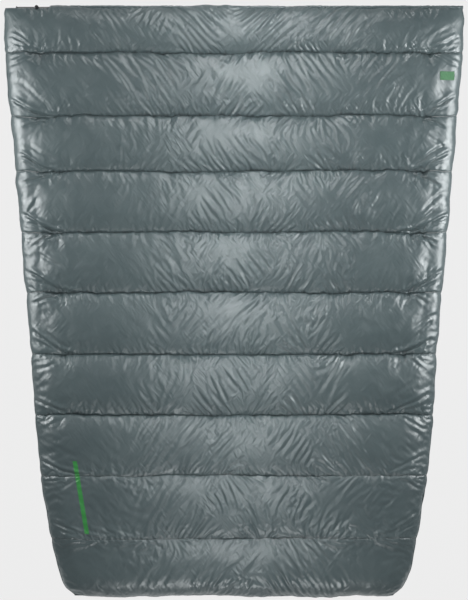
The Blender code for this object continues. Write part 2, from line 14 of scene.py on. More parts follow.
import bmesh
import bpy
import numpy as np
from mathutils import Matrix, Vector


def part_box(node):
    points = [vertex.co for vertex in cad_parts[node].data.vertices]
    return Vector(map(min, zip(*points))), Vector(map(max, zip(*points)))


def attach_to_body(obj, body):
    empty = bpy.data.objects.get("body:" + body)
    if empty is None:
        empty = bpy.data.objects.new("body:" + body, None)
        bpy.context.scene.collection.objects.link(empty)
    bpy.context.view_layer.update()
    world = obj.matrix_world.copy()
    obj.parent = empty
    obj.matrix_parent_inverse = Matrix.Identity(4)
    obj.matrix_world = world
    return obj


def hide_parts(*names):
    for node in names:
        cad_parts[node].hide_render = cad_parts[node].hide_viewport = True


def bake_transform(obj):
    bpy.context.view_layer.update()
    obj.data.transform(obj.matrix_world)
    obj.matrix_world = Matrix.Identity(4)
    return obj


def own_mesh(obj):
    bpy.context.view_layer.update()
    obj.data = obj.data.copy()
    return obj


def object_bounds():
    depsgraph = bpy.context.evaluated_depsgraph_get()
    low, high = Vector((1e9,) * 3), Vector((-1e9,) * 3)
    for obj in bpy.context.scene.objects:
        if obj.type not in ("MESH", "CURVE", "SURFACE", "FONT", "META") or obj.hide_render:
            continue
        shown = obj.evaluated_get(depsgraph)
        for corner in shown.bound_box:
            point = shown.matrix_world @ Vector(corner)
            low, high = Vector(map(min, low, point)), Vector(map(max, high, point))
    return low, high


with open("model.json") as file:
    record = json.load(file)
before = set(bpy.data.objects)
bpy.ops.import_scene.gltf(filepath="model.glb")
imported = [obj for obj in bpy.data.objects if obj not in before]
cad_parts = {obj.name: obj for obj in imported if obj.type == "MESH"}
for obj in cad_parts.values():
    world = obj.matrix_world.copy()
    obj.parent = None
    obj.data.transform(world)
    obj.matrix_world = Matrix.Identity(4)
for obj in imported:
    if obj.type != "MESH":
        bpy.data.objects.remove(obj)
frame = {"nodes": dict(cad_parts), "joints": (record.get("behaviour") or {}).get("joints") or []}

CAD_LOW, CAD_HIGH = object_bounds()
NODES = frame["nodes"]
JOINTS = {joint["name"]: joint for joint in frame["joints"]}

# ------------------------------------------------------------------ layout, read from the CAD
ROWS = list(range(1, 11))
FOOTBOX_ROWS = (7, 8, 9, 10)
DRAFT_ROWS = range(2, 7)        # the rows with a draft edge on each side
SIDES = (("left", -1), ("right", 1))
PITCH = 0.2                     # from one row seam to the next
SEAM_RISE = 0.008               # the sewn lines ride above the middle of their baffles

SEAM_Y = [CAD_HIGH.y - 0.0045]
SEAM_Z = [0.022]
for k in range(1, 10):
    low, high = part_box(f"baffle_{k}_{k + 1}")
    middle_z = 0.026 if k == 6 else (low.z + high.z) / 2
    SEAM_Y.append((low.y + high.y) / 2)
    SEAM_Z.append(middle_z + SEAM_RISE)
SEAM_Y.append(CAD_LOW.y + 0.0005)
SEAM_Z.append(0.018)

outline = {}
for name in ["shell_collar", "shell_footbox"] + [f"draft_right_{k}" for k in DRAFT_ROWS]:
    for vertex in NODES[name].data.vertices:
        y = round(vertex.co.y, 4)
        outline[y] = max(outline.get(y, 0.0), vertex.co.x)
OUTLINE_Y = np.array(sorted(outline))
OUTLINE_X = np.array([outline[y] for y in OUTLINE_Y])

TUCK_NECK = JOINTS["tuck_right_2"]["pos_m"]
TUCK_FOOT = JOINTS["tuck_right_6"]["pos_m"]
SIDE_SEAM = np.array([TUCK_NECK[0] - TUCK_FOOT[0], TUCK_NECK[1] - TUCK_FOOT[1]])
SIDE_SEAM_SLOPE = SIDE_SEAM[0] / SIDE_SEAM[1]
SIDE_SEAM /= np.linalg.norm(SIDE_SEAM)


def half_out(y):
    """Half the quilt's width at y."""
    return np.interp(y, OUTLINE_Y, OUTLINE_X)


def half_in(y):
    """The side seam beside rows 2 to 6, carried on as a grid line beyond them."""
    inside = np.clip(y, SEAM_Y[6], SEAM_Y[1])
    straight = TUCK_NECK[0] + SIDE_SEAM_SLOPE * (inside - TUCK_NECK[1])
    return straight + (half_out(y) - half_out(inside))


def edge_distance(x, y):
    """How far in from the side outline a point lies."""
    return np.maximum(half_out(y) - np.abs(x), 0)


# ------------------------------------------------------------------ curves and noise
def unit(value):
    return np.clip(value, 0, 1)


def bell(offset, width, power=2):
    return np.exp(-(offset / width) ** power)


def decay(distance, reach):
    return np.exp(-distance / reach)


def smooth_noise(shape, sigma, seed):
    """Random field, blurred by sigma cells along each axis, unit variance."""
    rng = np.random.RandomState(seed)
    spectrum = np.fft.rfftn(rng.standard_normal(shape))
    for axis, spread in enumerate(sigma):
        count = shape[axis]
        last = axis == len(shape) - 1
        frequency = np.fft.rfftfreq(count) if last else np.fft.fftfreq(count)
        gain = np.exp(-2 * (math.pi * frequency * spread) ** 2)
        spectrum *= gain.reshape([-1 if a == axis else 1 for a in range(len(shape))])
    field = np.fft.irfftn(spectrum, shape, axes=tuple(range(len(shape))))
    return field / (field.std() + 1e-12)


# ------------------------------------------------------------------ the cloth solver
EDGE_STIFFNESS = 0.9
DAMPING = 0.94


def length(vectors):
    return np.sqrt(np.einsum("...k,...k->...", vectors, vectors))


class Sheet:
    """Grids of cloth, all the same size: place is (sheets, across, along, 3).

    The cloth is cut longer than its start by extra_x and extra_y, and skewed by shear.
    """

    def __init__(self, start, extra_x, extra_y, shear, free):
        self.place = start.astype(np.float32).copy()
        self.before = self.place.copy()
        rest_x = length(np.diff(start, axis=1)) * (1 + (extra_x[:, 1:] + extra_x[:, :-1]) / 2)
        rest_y = length(np.diff(start, axis=2))
        rest_y = rest_y * (1 + (extra_y[:, :, 1:] + extra_y[:, :, :-1]) / 2)
        self.rest_x = rest_x.astype(np.float32)
        self.rest_y = rest_y.astype(np.float32)
        cell_x = (rest_x[:, :, 1:] + rest_x[:, :, :-1]) / 2
        cell_y = (rest_y[:, 1:] + rest_y[:, :-1]) / 2
        skew = (shear[:, 1:, 1:] + shear[:, :-1, :-1]) / 2
        extra = (extra_x[:, 1:, 1:] + extra_x[:, :-1, :-1]
                 + extra_y[:, 1:, 1:] + extra_y[:, :-1, :-1]) / 4
        rising = length(start[:, 1:, 1:] - start[:, :-1, :-1]) * (1 + extra)
        falling = length(start[:, 1:, :-1] - start[:, :-1, 1:]) * (1 + extra)
        rising = np.sqrt(rising ** 2 + 2 * skew * cell_x * cell_y).astype(np.float32)
        falling = np.sqrt(falling ** 2 - 2 * skew * cell_x * cell_y).astype(np.float32)
        every, first, last = slice(None), slice(0, -1), slice(1, None)
        self.diagonals = (
            (rising, (every, first, first), (every, last, last)),
            (falling, (every, last, first), (every, first, last)),
        )
        self.free = free.astype(np.float32)
        self.cell_area = None

    def hold_edges(self, axis, rest):
        place, free = self.place, self.free
        count = place.shape[axis]
        for offset in (0, 1):
            near = [slice(None)] * 3
            far = [slice(None)] * 3
            near[axis] = slice(offset, count - 1, 2)
            far[axis] = slice(offset + 1, count, 2)
            near, far = tuple(near), tuple(far)
            gap = place[far] - place[near]
            size = length(gap)
            free_near, free_far = free[near], free[far]
            pull = EDGE_STIFFNESS * (size - rest[near]) / (size + 1e-9)
            pull = pull / (free_near + free_far + 1e-9)
            place[near] += gap * (pull * free_near)[..., None]
            place[far] -= gap * (pull * free_far)[..., None]

    def hold_diagonals(self, stiffness):
        place, free = self.place, self.free
        for rest, near, far in self.diagonals:
            gap = place[far] - place[near]
            size = length(gap)
            pull = (stiffness * (size - rest) / (size + 1e-9))[..., None] * gap
            place[near] += pull * free[near][..., None]
            place[far] -= pull * free[far][..., None]

    def resist_bending(self, stiffness):
        for axis in (1, 2):
            v = np.moveaxis(self.place, axis, 1)
            free = np.moveaxis(self.free, axis, 1)
            bend = v[:, :-4] - 4 * v[:, 1:-3] + 6 * v[:, 2:-2] - 4 * v[:, 3:-1] + v[:, 4:]
            v[:, 2:-2] -= stiffness * bend * free[:, 2:-2, :, None]

    def inflate(self, amount):
        place = self.place
        step_x = place[:, 2:, 1:-1] - place[:, :-2, 1:-1]
        step_y = place[:, 1:-1, 2:] - place[:, 1:-1, :-2]
        normal = np.cross(step_y, step_x)
        if self.cell_area is None:
            self.cell_area = length(normal).mean()
        push = normal * (amount / self.cell_area)
        place[:, 1:-1, 1:-1] += push * self.free[:, 1:-1, 1:-1, None]

    def run(self, steps, pressure, bend, shear, floor=None):
        for _ in range(steps):
            motion = self.place - self.before
            self.before = self.place.copy()
            self.place += motion * (DAMPING * self.free)[..., None]
            self.inflate(pressure)
            self.hold_edges(1, self.rest_x)
            self.hold_edges(2, self.rest_y)
            self.hold_diagonals(shear)
            self.resist_bending(bend)
            if floor is not None:
                np.maximum(self.place[..., 2], floor, out=self.place[..., 2])
        return self.place.astype(float)


# ------------------------------------------------------------------ the shell's starting shape
EDGE_CELLS, ROW_CELLS = 26, 430         # cells across a draft edge and across a row
STATIONS = 62                           # points along a row's pitch
COLUMNS = 2 * EDGE_CELLS + ROW_CELLS + 1
LEFT_SEAM = EDGE_CELLS                  # columns of the two side seams
RIGHT_SEAM = EDGE_CELLS + ROW_CELLS
BETWEEN_SEAMS = slice(LEFT_SEAM, RIGHT_SEAM + 1)
GRID = (len(ROWS), COLUMNS, STATIONS)
ROW_NUMBER = np.array(ROWS)[:, None, None]

# stations from a row's neck-side seam (0) to its foot-side seam (1), closer at its seams
even = np.linspace(0, 1, STATIONS)
STATION = even - 0.055 * np.sin(2 * math.pi * even)
NEAR_SEAM = np.abs(2 * STATION - 1)     # 0 in the middle of a row, 1 at its seams

# profiles: distances in from the side outline and the heights there, both in millimetres
DRAFT_CROWN = ([0, 12, 30, 68, 95, 140, 190, 260], [11, 19, 27, 42.5, 49, 52.5, 54.5, 56])
COLLAR_CROWN = ([0, 14, 35, 80, 140, 200, 260], [12, 26, 36, 45, 51, 54, 55])
FOOT_CROWN = ([0, 7, 22, 55, 105, 160, 230], [17, 29, 41, 54, 60, 63, 64])
DRAFT_SEAM = ([0, 12, 35, 70, 110, 150], [11, 19, 26, 28, 24, 22])
FOOT_SEAM = ([0, 12, 35, 80], [17, 24, 27.5, 29])

GROOVE_DEPTH = [0.0036] * 8 + [0.0020, 0.0010, 0.0036]     # of seams 0 to 10

# folds pulled from the side edge to a row seam, two to the foot side and one to the neck side:
# inset of the start and its spread, inset of the end and its spread,
# station of the start and its spread, station of the end, bow, depth
PULLED_FOLDS = [
    (0.010, 0.02, 0.15, 0.06, 0.62, 0.14, 0.985, 1.8, 0.0052),
    (0.030, 0.02, 0.12, 0.05, 0.80, 0.08, 0.99, 1.4, 0.0036),
    (0.020, 0.03, 0.11, 0.05, 0.26, -0.10, 0.015, 1.5, 0.0036),
]
FREE_FOLD_DEPTH = 0.0026
FOLD_STRENGTH = [0.55, 0.7, 0.9, 1.0, 1.0, 0.8, 0.45, 0.35, 0.3, 0.2]      # row by row
FOLD_WIDTH = 0.0042
FOLD_RUN = 0.19                         # row length the folds are laid out on


def profile_height(profile, distance):
    """Smoothly rounded look-up of a height in metres from a distance in metres."""
    fine = np.linspace(0, 300, 601)
    z = np.interp(fine, profile[0], profile[1])
    kernel = np.hanning(33) / np.hanning(33).sum()
    z = np.convolve(np.pad(z, 16, mode="reflect", reflect_type="odd"), kernel, "valid")
    return np.interp(np.asarray(distance) * 1000.0, fine, z) / 1000.0


def across(y):
    """x of the grid columns at y, the same count on every line so neighbours share points."""
    outer, inner = half_out(y), half_in(y)
    left = -outer + (outer - inner) * np.linspace(0, 1, EDGE_CELLS + 1)
    middle = np.linspace(-inner, inner, ROW_CELLS + 1)
    return np.concatenate([left[:-1], middle, -left[::-1][1:]])


def seam_line(k):
    """Points of seam k from left to right."""
    y = SEAM_Y[k]
    x = across(y)
    inward = edge_distance(x, y)
    profile = profile_height(FOOT_SEAM if k >= 7 else DRAFT_SEAM, inward)
    centre = profile[COLUMNS // 2]
    fade = unit(inward / 0.03)
    medium = smooth_noise((COLUMNS,), (4.5,), 200 + k)
    slow = smooth_noise((COLUMNS,), (26.0,), 300 + k)
    if k in (0, 10):
        z = SEAM_Z[k] + (profile - centre) * 0.35
        y = y + (0.0012 * medium + 0.0020 * slow) * fade - 0.002
    else:
        quick = smooth_noise((COLUMNS,), (1.6,), 100 + k)
        z = profile + (SEAM_Z[k] - centre)
        if k <= 6:
            z = z - 0.011 * bell(inward - 0.108, 0.032)
        if k in (8, 9):
            lift = 0.005 + 0.012 * unit((0.42 - inward) / 0.16) * unit(inward / 0.06)
            z = z + lift * (1.1 if k == 8 else 1.5)
        y = y + (0.0005 * quick + 0.0010 * medium + 0.0016 * slow) * fade
        z = z + (0.0006 * quick + 0.0012 * medium) * fade
        if k <= 6:
            y = y - 0.004 * bell(inward - 0.108, 0.040)
    if k == 0:
        # past the hem tunnel's open end the edge steps back, and the cord and its lock lie along it
        step = unit((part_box("neck_hem")[0].x - x) / 0.007)
        step = step * step * (3 - 2 * step)
        y = y * (1 - step) + (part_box("cord_lock_spring")[0].y + 0.0012) * step
    if k == 10:
        y = y + 0.0015
    return np.stack([x, y, z], axis=-1)


LINES = [seam_line(k) for k in range(11)]


def fold_list(k, side):
    """Each fold's start and end insets, start and end stations, bow and depth."""
    rng = np.random.RandomState(4000 + 10 * k + (side > 0))
    strength = FOLD_STRENGTH[k - 1]
    folds = []
    for fold in PULLED_FOLDS[:3 if k > 1 else 2]:
        start, start_spread, end, end_spread, station, station_spread, target, bow, depth = fold
        start = start + start_spread * rng.rand()
        end = end + end_spread * rng.rand()
        station = station + station_spread * rng.rand()
        folds.append((start, end, station, target, bow, depth * strength))
    # free diagonals beside the edge
    for _ in range(3 if side > 0 else 1):
        start = 0.018 + 0.05 * rng.rand()
        station = 0.25 + 0.5 * rng.rand()
        end = start + 0.04 + 0.05 * rng.rand()
        slant = 0.22 + 0.16 * rng.rand()
        target = station + slant * (1 if rng.rand() < 0.75 else -1)
        folds.append((start, end, station, target, 1.0, FREE_FOLD_DEPTH * strength))
    return folds


def fold_height(k, side, inward):
    """Height of the pulled folds where a row's seams run out into its edge."""
    z = np.zeros_like(inward)
    station = np.broadcast_to(STATION[None, :], inward.shape)
    width = FOLD_WIDTH
    for start, end, station_0, station_1, bow, depth in fold_list(k, side):
        done = unit((inward - start) / (end - start))
        centre = station_1 + (station_0 - station_1) * (1 - done) ** bow
        slope = np.abs(station_0 - station_1) * FOLD_RUN / (end - start) * bow
        slope = slope * np.clip(1 - done, 0.05, 1) ** (bow - 1)
        away = (station - centre) * FOLD_RUN / np.sqrt(1 + slope ** 2)
        ends = unit((inward - start + 0.012) / 0.02) * unit((end + 0.006 - inward) / 0.03)
        # a valley with a high ridge on one side and a low one on the other
        z += ends * depth * (-bell(away, width)
                             + 0.75 * bell(away + 1.9 * width, 1.1 * width)
                             + 0.35 * bell(away - 2.0 * width, width))
    return z * unit(inward / 0.012) * unit(np.minimum(station, 1 - station) / 0.03)


def row_start(k):
    """A row's sheet before it is relaxed, crowned between its two seams."""
    neck, foot = LINES[k - 1], LINES[k]
    station = STATION[None, :, None]
    flat = neck[:, None, :] * (1 - station) + foot[:, None, :] * station
    y = flat[..., 1]
    outer, inner = half_out(y), half_in(y)
    x = np.empty_like(y)
    left, right = slice(LEFT_SEAM + 1), slice(RIGHT_SEAM, None)
    part = np.linspace(0, 1, EDGE_CELLS + 1)[:, None]
    x[left] = -outer[left] + (outer - inner)[left] * part
    x[BETWEEN_SEAMS] = inner[BETWEEN_SEAMS] * np.linspace(-1, 1, ROW_CELLS + 1)[:, None]
    x[right] = outer[right] - (outer - inner)[right] * part[::-1]
    blend = (1 - NEAR_SEAM ** 6)[None, :]
    x = flat[..., 0] * (1 - blend) + x * blend
    inward = edge_distance(x, y)
    # the outline is drawn in a little at each row seam, and wanders between them
    tuck = (NEAR_SEAM ** 8)[None, :] * 0.0045 - 0.0015
    wander = smooth_noise((2, STATIONS), (0.01, 5.0), 900 + k) * 0.0014 * (1 - NEAR_SEAM ** 4)
    tuck = tuck + np.where(x < 0, wander[0][None, :], wander[1][None, :])
    x = x - np.sign(x) * tuck * decay(inward, 0.02)
    crown_profile = COLLAR_CROWN if k == 1 else DRAFT_CROWN if k < 7 else FOOT_CROWN
    crown = profile_height(crown_profile, inward)
    fullness = 2.5
    if k == 1:
        fullness = np.where(STATION < 0.5, 2.0, 2.5)
    if k == 10:
        fullness = np.where(STATION > 0.5, 3.2, 2.5)
    arch = (1 - NEAR_SEAM ** fullness)[None, :]
    groove = GROOVE_DEPTH[k - 1] * (1 - STATION) + GROOVE_DEPTH[k] * STATION
    groove = (groove * (1 - NEAR_SEAM ** 34))[None, :] * unit(inward / 0.05)
    z = flat[..., 2] + groove + np.maximum(crown - groove - flat[..., 2], 0) * arch
    for _, side in SIDES:
        half = x < 0 if side < 0 else x >= 0
        z = z + np.where(half, fold_height(k, side, inward), 0.0)
    return np.stack([x, y, z], axis=-1)


# places where the shell lies full and smooth on its down: row, x, station, half sizes
FULL_SPOTS = [
    (1, 0.00, 0.5, 0.07, 0.5), (3, -0.08, 0.32, 0.09, 0.30), (4, -0.04, 0.38, 0.10, 0.28),
    (6, -0.01, 0.40, 0.08, 0.30), (8, -0.02, 0.45, 0.06, 0.30), (10, -0.02, 0.30, 0.06, 0.35),
]
# row by row: x of the middle of the slack cloth, and its half width
SLACK_X = [0.02, 0.06, 0.08, 0.08, 0.09, 0.07, 0.06, 0.06, 0.06, 0.05]
SLACK_WIDTH = [0.42, 0.42, 0.36, 0.33, 0.32, 0.32, 0.34, 0.36, 0.34, 0.30]


def excess(start):
    """How much longer than its place the cloth is cut, across and along, and its skew."""
    x = start[..., 0]
    inward = edge_distance(x, start[..., 1])
    patch = smooth_noise(GRID, (0.01, 9, 7), 7)
    fine = smooth_noise(GRID, (0.01, 5, 8), 8)
    slack_x = np.array(SLACK_X)[:, None, None]
    slack_width = np.array(SLACK_WIDTH)[:, None, None]
    centre = bell(np.abs(x - slack_x), slack_width, 3.5)
    from_neck = STATION[None, None, :] * PITCH
    from_foot = (1 - STATION[None, None, :]) * PITCH
    neck, foot = decay(from_neck, 0.024), decay(from_foot, 0.034)
    gather = neck * (0.007 + 0.030 * centre) + foot * (0.018 + 0.036 * centre)
    extra_x = gather * np.clip(1 + 0.5 * fine, 0.1, 2.2)
    extra_x = extra_x + centre * 0.012 * np.clip(1 + 0.9 * patch, 0, 2.6) + 0.001
    # gathers fan out where a row's stitching starts, beside its draft edge
    fan = bell(inward - 0.115, 0.055) * (ROW_NUMBER < 8)
    extra_x = extra_x + fan * (0.055 * decay(from_neck, 0.024) + 0.026 * decay(from_foot, 0.030))
    # the footbox is gathered along its side edges
    side_gather = np.where(ROW_NUMBER > 6, 0.012 * decay(inward, 0.07), 0.0)
    extra_y = 0.012 + 0.008 * centre + 0.005 * patch + side_gather
    for k, spot_x, spot_station, half_x, half_station in FULL_SPOTS:
        spot = np.exp(-((x[k - 1] - spot_x) / half_x) ** 2
                      - ((STATION[None, :] - spot_station) / half_station) ** 2)
        extra_x[k - 1] *= 1 - 0.85 * spot
    extra_x = np.clip(extra_x, 0.0, 0.13)
    skew = smooth_noise(GRID, (0.01, 13, 11), 11) * 0.13 * (0.05 + 0.95 * centre)
    skew = skew + 0.07 * np.where(ROW_NUMBER == 1, np.tanh((x - 0.05) / 0.1), 0.0) * centre
    skew = skew - 0.07 * (ROW_NUMBER == 2) * bell(np.abs(x + 0.1), 0.5, 4)
    column = np.arange(COLUMNS)
    calm = np.clip(np.minimum(column, column[::-1])[None, :, None] / 14.0, 0.25, 1)
    return extra_x * calm, extra_y, skew * calm


START = np.stack([row_start(k) for k in ROWS])
EXTRA_X, EXTRA_Y, SKEW = excess(START)
FREE = np.ones(GRID)                    # 0 where the cloth is held
FREE[:, :, 0] = FREE[:, :, -1] = 0
FREE[:, 0] = FREE[:, -1] = 0


def relaxed_shell():
    seeded = START.copy()
    seeded[..., 2] += 0.0008 * smooth_noise(GRID, (0.01, 1.0, 1.6), 21) * FREE
    sheet = Sheet(START, EXTRA_X, EXTRA_Y, SKEW, FREE)
    sheet.place[...] = seeded
    sheet.before[...] = seeded
    top = sheet.run(steps=90, pressure=2.2e-6, bend=0.0010, shear=0.12)
    around = (top[:, 2:, 1:-1] + top[:, :-2, 1:-1] + top[:, 1:-1, 2:] + top[:, 1:-1, :-2]) / 4
    top[:, 1:-1, 1:-1] = top[:, 1:-1, 1:-1] * 0.9 + around * 0.1
    return top


# ------------------------------------------------------------------ the lining's sheets
LINING_FLOOR = np.array([0.0004] * 6 + [0.0131] * 4)        # lowest z, row by row


def low_line(k):
    """The lining's side of seam k, hung below the shell's."""
    line = LINES[k].copy()
    if 0 < k < 10:
        inward = edge_distance(line[:, 0], line[:, 1])
        # the draft tubes are closed at their ends
        start, reach = (0.085, 0.045) if k < 7 else (0.004, 0.055)
        part = unit((inward - start) / reach)
        line[:, 2] -= 0.008 * part * part * (3 - 2 * part) + 0.0007 * unit((inward - 0.002) / 0.008)
    return line


LOW_LINES = [low_line(k) for k in range(11)]


def lining_start(k):
    neck, foot = LOW_LINES[k - 1], LOW_LINES[k]
    place = START[k - 1].copy()
    station = STATION[None, :]
    seam = neck[:, None, 2] * (1 - station) + foot[:, None, 2] * station
    inward = edge_distance(place[..., 0], place[..., 1])
    edge = seam if k < 7 else np.maximum(seam, 0.0165)
    depth = (edge - LINING_FLOOR[k - 1]) * (1 - decay(inward, 0.016))
    place[..., 2] = seam - depth * (1 - NEAR_SEAM ** 3.0)[None, :]
    place[:, 0], place[:, -1] = neck, foot
    place[0], place[-1] = START[k - 1][0], START[k - 1][-1]
    return place


def relaxed_lining():
    start = np.stack([lining_start(k) for k in ROWS])
    floor = LINING_FLOOR[:, None, None]
    sheet = Sheet(start, EXTRA_X[:, ::-1] * 0.8, EXTRA_Y * 0.6, SKEW[:, ::-1], FREE)
    noise_z = 0.0006 * smooth_noise(GRID, (0.01, 1.4, 2.5), 31) * FREE
    sheet.place[..., 2] += noise_z.astype(np.float32)
    sheet.before[...] = sheet.place
    low = sheet.run(steps=50, pressure=-2.0e-6, bend=0.004, shear=0.15,
                    floor=floor.astype(np.float32))
    low[:, :, 1:-1, 2] = np.maximum(low[:, :, 1:-1, 2], floor)
    low[..., 2] = np.maximum(low[..., 2], 0.0003)
    return low


TOP = relaxed_shell()
UNDER = relaxed_lining()


# ------------------------------------------------------------------ fields the shaders read
SLACK = unit(EXTRA_X / 0.07)
# strength of the painted shade on the pleats beside a row's neck-side seam, left and right, row by
# row
PLEAT_SHADE = np.array([[0, 0], [1.0, 0.8], [0.35, 0.55], [0.55, 0.75], [0.5, 0.3],
                        [0.35, 0.25], [0.2, 0.3], [0.1, 0.1], [0, 0], [0, 0]])
# painted shade: the stations beside the foot-side seam whose colour is darkened
FRINGE = slice(-7, None)                # stations darkened beside the foot-side seam


def painted_seam_shade_field():
    """Painted shade: how much the cloth's colour is darkened where stitching draws it in, standing
    in for shadow in the grooves and pleats there.
    """
    x = START[..., 0]
    inward = edge_distance(x, START[..., 1])
    painted_shade = np.zeros(GRID)
    # painted shade along each row's neck-side seam
    painted_shade[:, :, 0] = 0.40
    # painted shade in uneven spikes just above each row's foot-side seam
    spikes = (smooth_noise((10, COLUMNS, 1), (0.01, 0.9, 0.01), 77)
              + 0.8 * smooth_noise((10, COLUMNS, 1), (0.01, 9.0, 0.01), 78))
    reach = 0.0036 + 0.0042 * np.clip(spikes, -0.4, 2.6)
    from_foot = ((1 - STATION) * PITCH)[None, None, FRINGE]
    strength = np.clip(0.85 + 0.25 * spikes, 0.35, 1.2)
    painted_shade[:, :, FRINGE] = unit(1 - from_foot / reach) ** 0.8 * strength
    # painted shadow on the tight pleats beside the ends of the row seams
    pleat = np.clip(0.55 + 0.55 * smooth_noise(GRID, (0.01, 1.2, 3.0), 79), 0, 1.2)
    near_end = bell(inward - 0.095, 0.055, 4) * bell(STATION * PITCH, 0.017, 1.5)[None, None, :]
    shade = PLEAT_SHADE[np.arange(10)[:, None, None], np.where(x < 0, 0, 1)]
    painted_shade = np.maximum(painted_shade, shade * near_end * pleat)
    painted_shade *= unit(inward / 0.05)
    painted_shade[0, :, :2] = 0.0
    # the painted shade at seams 8 and 9 shows only faintly near the side edges
    faint = np.clip((inward - 0.22) / 0.14, 0.12, 1)
    painted_shade[7:9, :, FRINGE] *= faint[7:9, :, FRINGE]
    painted_shade[8:10, :, :1] *= faint[8:10, :, :1]
    painted_shade[9, :, FRINGE] = 0.0
    return painted_shade


# painted shade for the cloth's colour, point by point
PAINTED_SEAM_SHADE = painted_seam_shade_field()


# ------------------------------------------------------------------ shader helpers
def set_inputs(tree, node, inputs):
    """Set a node's inputs by name or index, linking those given as sockets."""
    for key, value in inputs.items():
        if isinstance(value, bpy.types.NodeSocket):
            tree.links.new(value, node.inputs[key])
        else:
            node.inputs[key].default_value = value


def add(tree, kind, inputs, **settings):
    node = tree.nodes.new("ShaderNode" + kind)
    for key, value in settings.items():
        setattr(node, key, value)
    set_inputs(tree, node, inputs)
    return node


def new_material(name):
    material = bpy.data.materials.new(name)
    material.use_nodes = True
    tree = material.node_tree
    return material, tree, tree.nodes["Principled BSDF"]


def object_place(tree):
    return add(tree, "TexCoord", {}).outputs["Object"]


def noise(tree, vector, **inputs):
    return add(tree, "TexNoise", {"Vector": vector, **inputs}).outputs["Fac"]


def wave(tree, vector, direction, **inputs):
    inputs["Vector"] = vector
    return add(tree, "TexWave", inputs, bands_direction=direction).outputs["Fac"]


def maths(tree, operation, *operands):
    return add(tree, "Math", dict(enumerate(operands)), operation=operation).outputs[0]


def remap(tree, value, source, target):
    """Map the (low, high) pair source onto the pair target."""
    return add(tree, "MapRange", {
        "Value": value, "From Min": source[0], "From Max": source[1],
        "To Min": target[0], "To Max": target[1],
    }).outputs["Result"]


def mix_colour(tree, factor, *colours):
    inputs = {0: factor}
    for index, colour in zip((6, 7), colours):
        inputs[index] = (*colour, 1.0) if isinstance(colour, tuple) else colour
    return add(tree, "Mix", inputs, data_type="RGBA").outputs[2]


def bump(tree, height, **inputs):
    return add(tree, "Bump", {"Height": height, **inputs}).outputs["Normal"]


def attribute(tree, name):
    return add(tree, "Attribute", {}, attribute_name=name).outputs["Fac"]


# ------------------------------------------------------------------ materials
# the green stripe on the footbox: its middle line is x = -STRIPE_X - STRIPE_SLANT * y
STRIPE_X, STRIPE_SLANT = 0.606, 0.17
STRIPE_Y = -0.640                       # y of its middle
STRIPE_HALF_WIDTH, STRIPE_HALF_LENGTH = 0.0070, 0.118
CREASE_HEIGHT = 0.00252


def stripe_mask(tree, where):
    """1 inside a plain, slightly slanted stripe."""
    part = add(tree, "SeparateXYZ", {0: where})
    slant = maths(tree, "MULTIPLY_ADD", part.outputs["Y"], STRIPE_SLANT, STRIPE_X)
    gap = maths(tree, "ABSOLUTE", maths(tree, "ADD", part.outputs["X"], slant))
    inside = maths(tree, "LESS_THAN", gap, STRIPE_HALF_WIDTH)
    reach = maths(tree, "ABSOLUTE", maths(tree, "ADD", part.outputs["Y"], -STRIPE_Y))
    along = maths(tree, "LESS_THAN", reach, STRIPE_HALF_LENGTH)
    return maths(tree, "MULTIPLY", inside, along)


def crease_pattern(tree, where):
    """Short creases running obliquely to the seams, two ways, chosen patch by patch."""
    ways = []
    for turn, scale in ((38, 92.0), (-36, 98.0)):
        rotation = (0, 0, math.radians(turn))
        spun = add(tree, "Mapping", {"Rotation": rotation, "Vector": where}).outputs["Vector"]
        pressed = add(tree, "Mapping", {"Scale": (1.0, 0.26, 0.4), "Vector": spun})
        crease = noise(tree, pressed.outputs["Vector"],
                       Scale=scale, Detail=1.0, Roughness=0.5, Distortion=0.3)
        ways.append(remap(tree, crease, (0.25, 0.75), (0.0, 1.0)))
    choice = noise(tree, where, Scale=19.0, Detail=1.0)
    choice = remap(tree, choice, (0.44, 0.56), (0.0, 1.0))
    return add(tree, "Mix", {0: choice, 2: ways[0], 3: ways[1]}).outputs[0]


def taffeta(name, dark, light, rough, stripe=False):
    """Thin woven cloth, creased where slack, and darkened with painted shade beside its seams and
    in its pleats.
    """
    material, tree, shader = new_material(name)
    where = object_place(tree)
    mottle = noise(tree, where, Scale=7.0, Detail=4.0, Roughness=0.6)
    colour = mix_colour(tree, remap(tree, mottle, (0.35, 0.65), (0.0, 1.0)), dark, light)
    threads = [wave(tree, where, way, Scale=420.0, Distortion=0.4) for way in ("X", "Y")]
    weave = maths(tree, "ADD", *threads)
    thread_tint = remap(tree, weave, (0.0, 2.0), (0.0, 0.16))
    colour = mix_colour(tree, thread_tint, colour, (0.30, 0.34, 0.35))
    if stripe:
        colour = mix_colour(tree, stripe_mask(tree, where), colour, (0.035, 0.34, 0.06))
    # painted shade: the colour is mixed towards near black where the seam shade field is high,
    # standing in for shadow in grooves and pleats
    painted_shade = remap(tree, attribute(tree, "painted_shade"), (0.0, 1.0), (0.0, 0.52))
    colour = mix_colour(tree, painted_shade, colour, (0.020, 0.026, 0.029))
    patches = noise(tree, where, Scale=22.0, Detail=3.0)
    slack = remap(tree, attribute(tree, "slack"), (0.0, 0.6), (0.22, 1.0))
    creases = maths(tree, "MULTIPLY", crease_pattern(tree, where), slack)
    creased = bump(tree, creases, Strength=1.0, Distance=CREASE_HEIGHT)
    set_inputs(tree, shader, {
        "Base Color": colour,
        "Roughness": remap(tree, patches, (0.3, 0.7), rough),
        "Normal": bump(tree, weave, Strength=0.12, Distance=0.0003, Normal=creased),
        "Metallic": 0.10, "IOR": 1.65, "Specular IOR Level": 0.95,
        "Sheen Weight": 0.12, "Sheen Roughness": 0.4,
    })
    return material


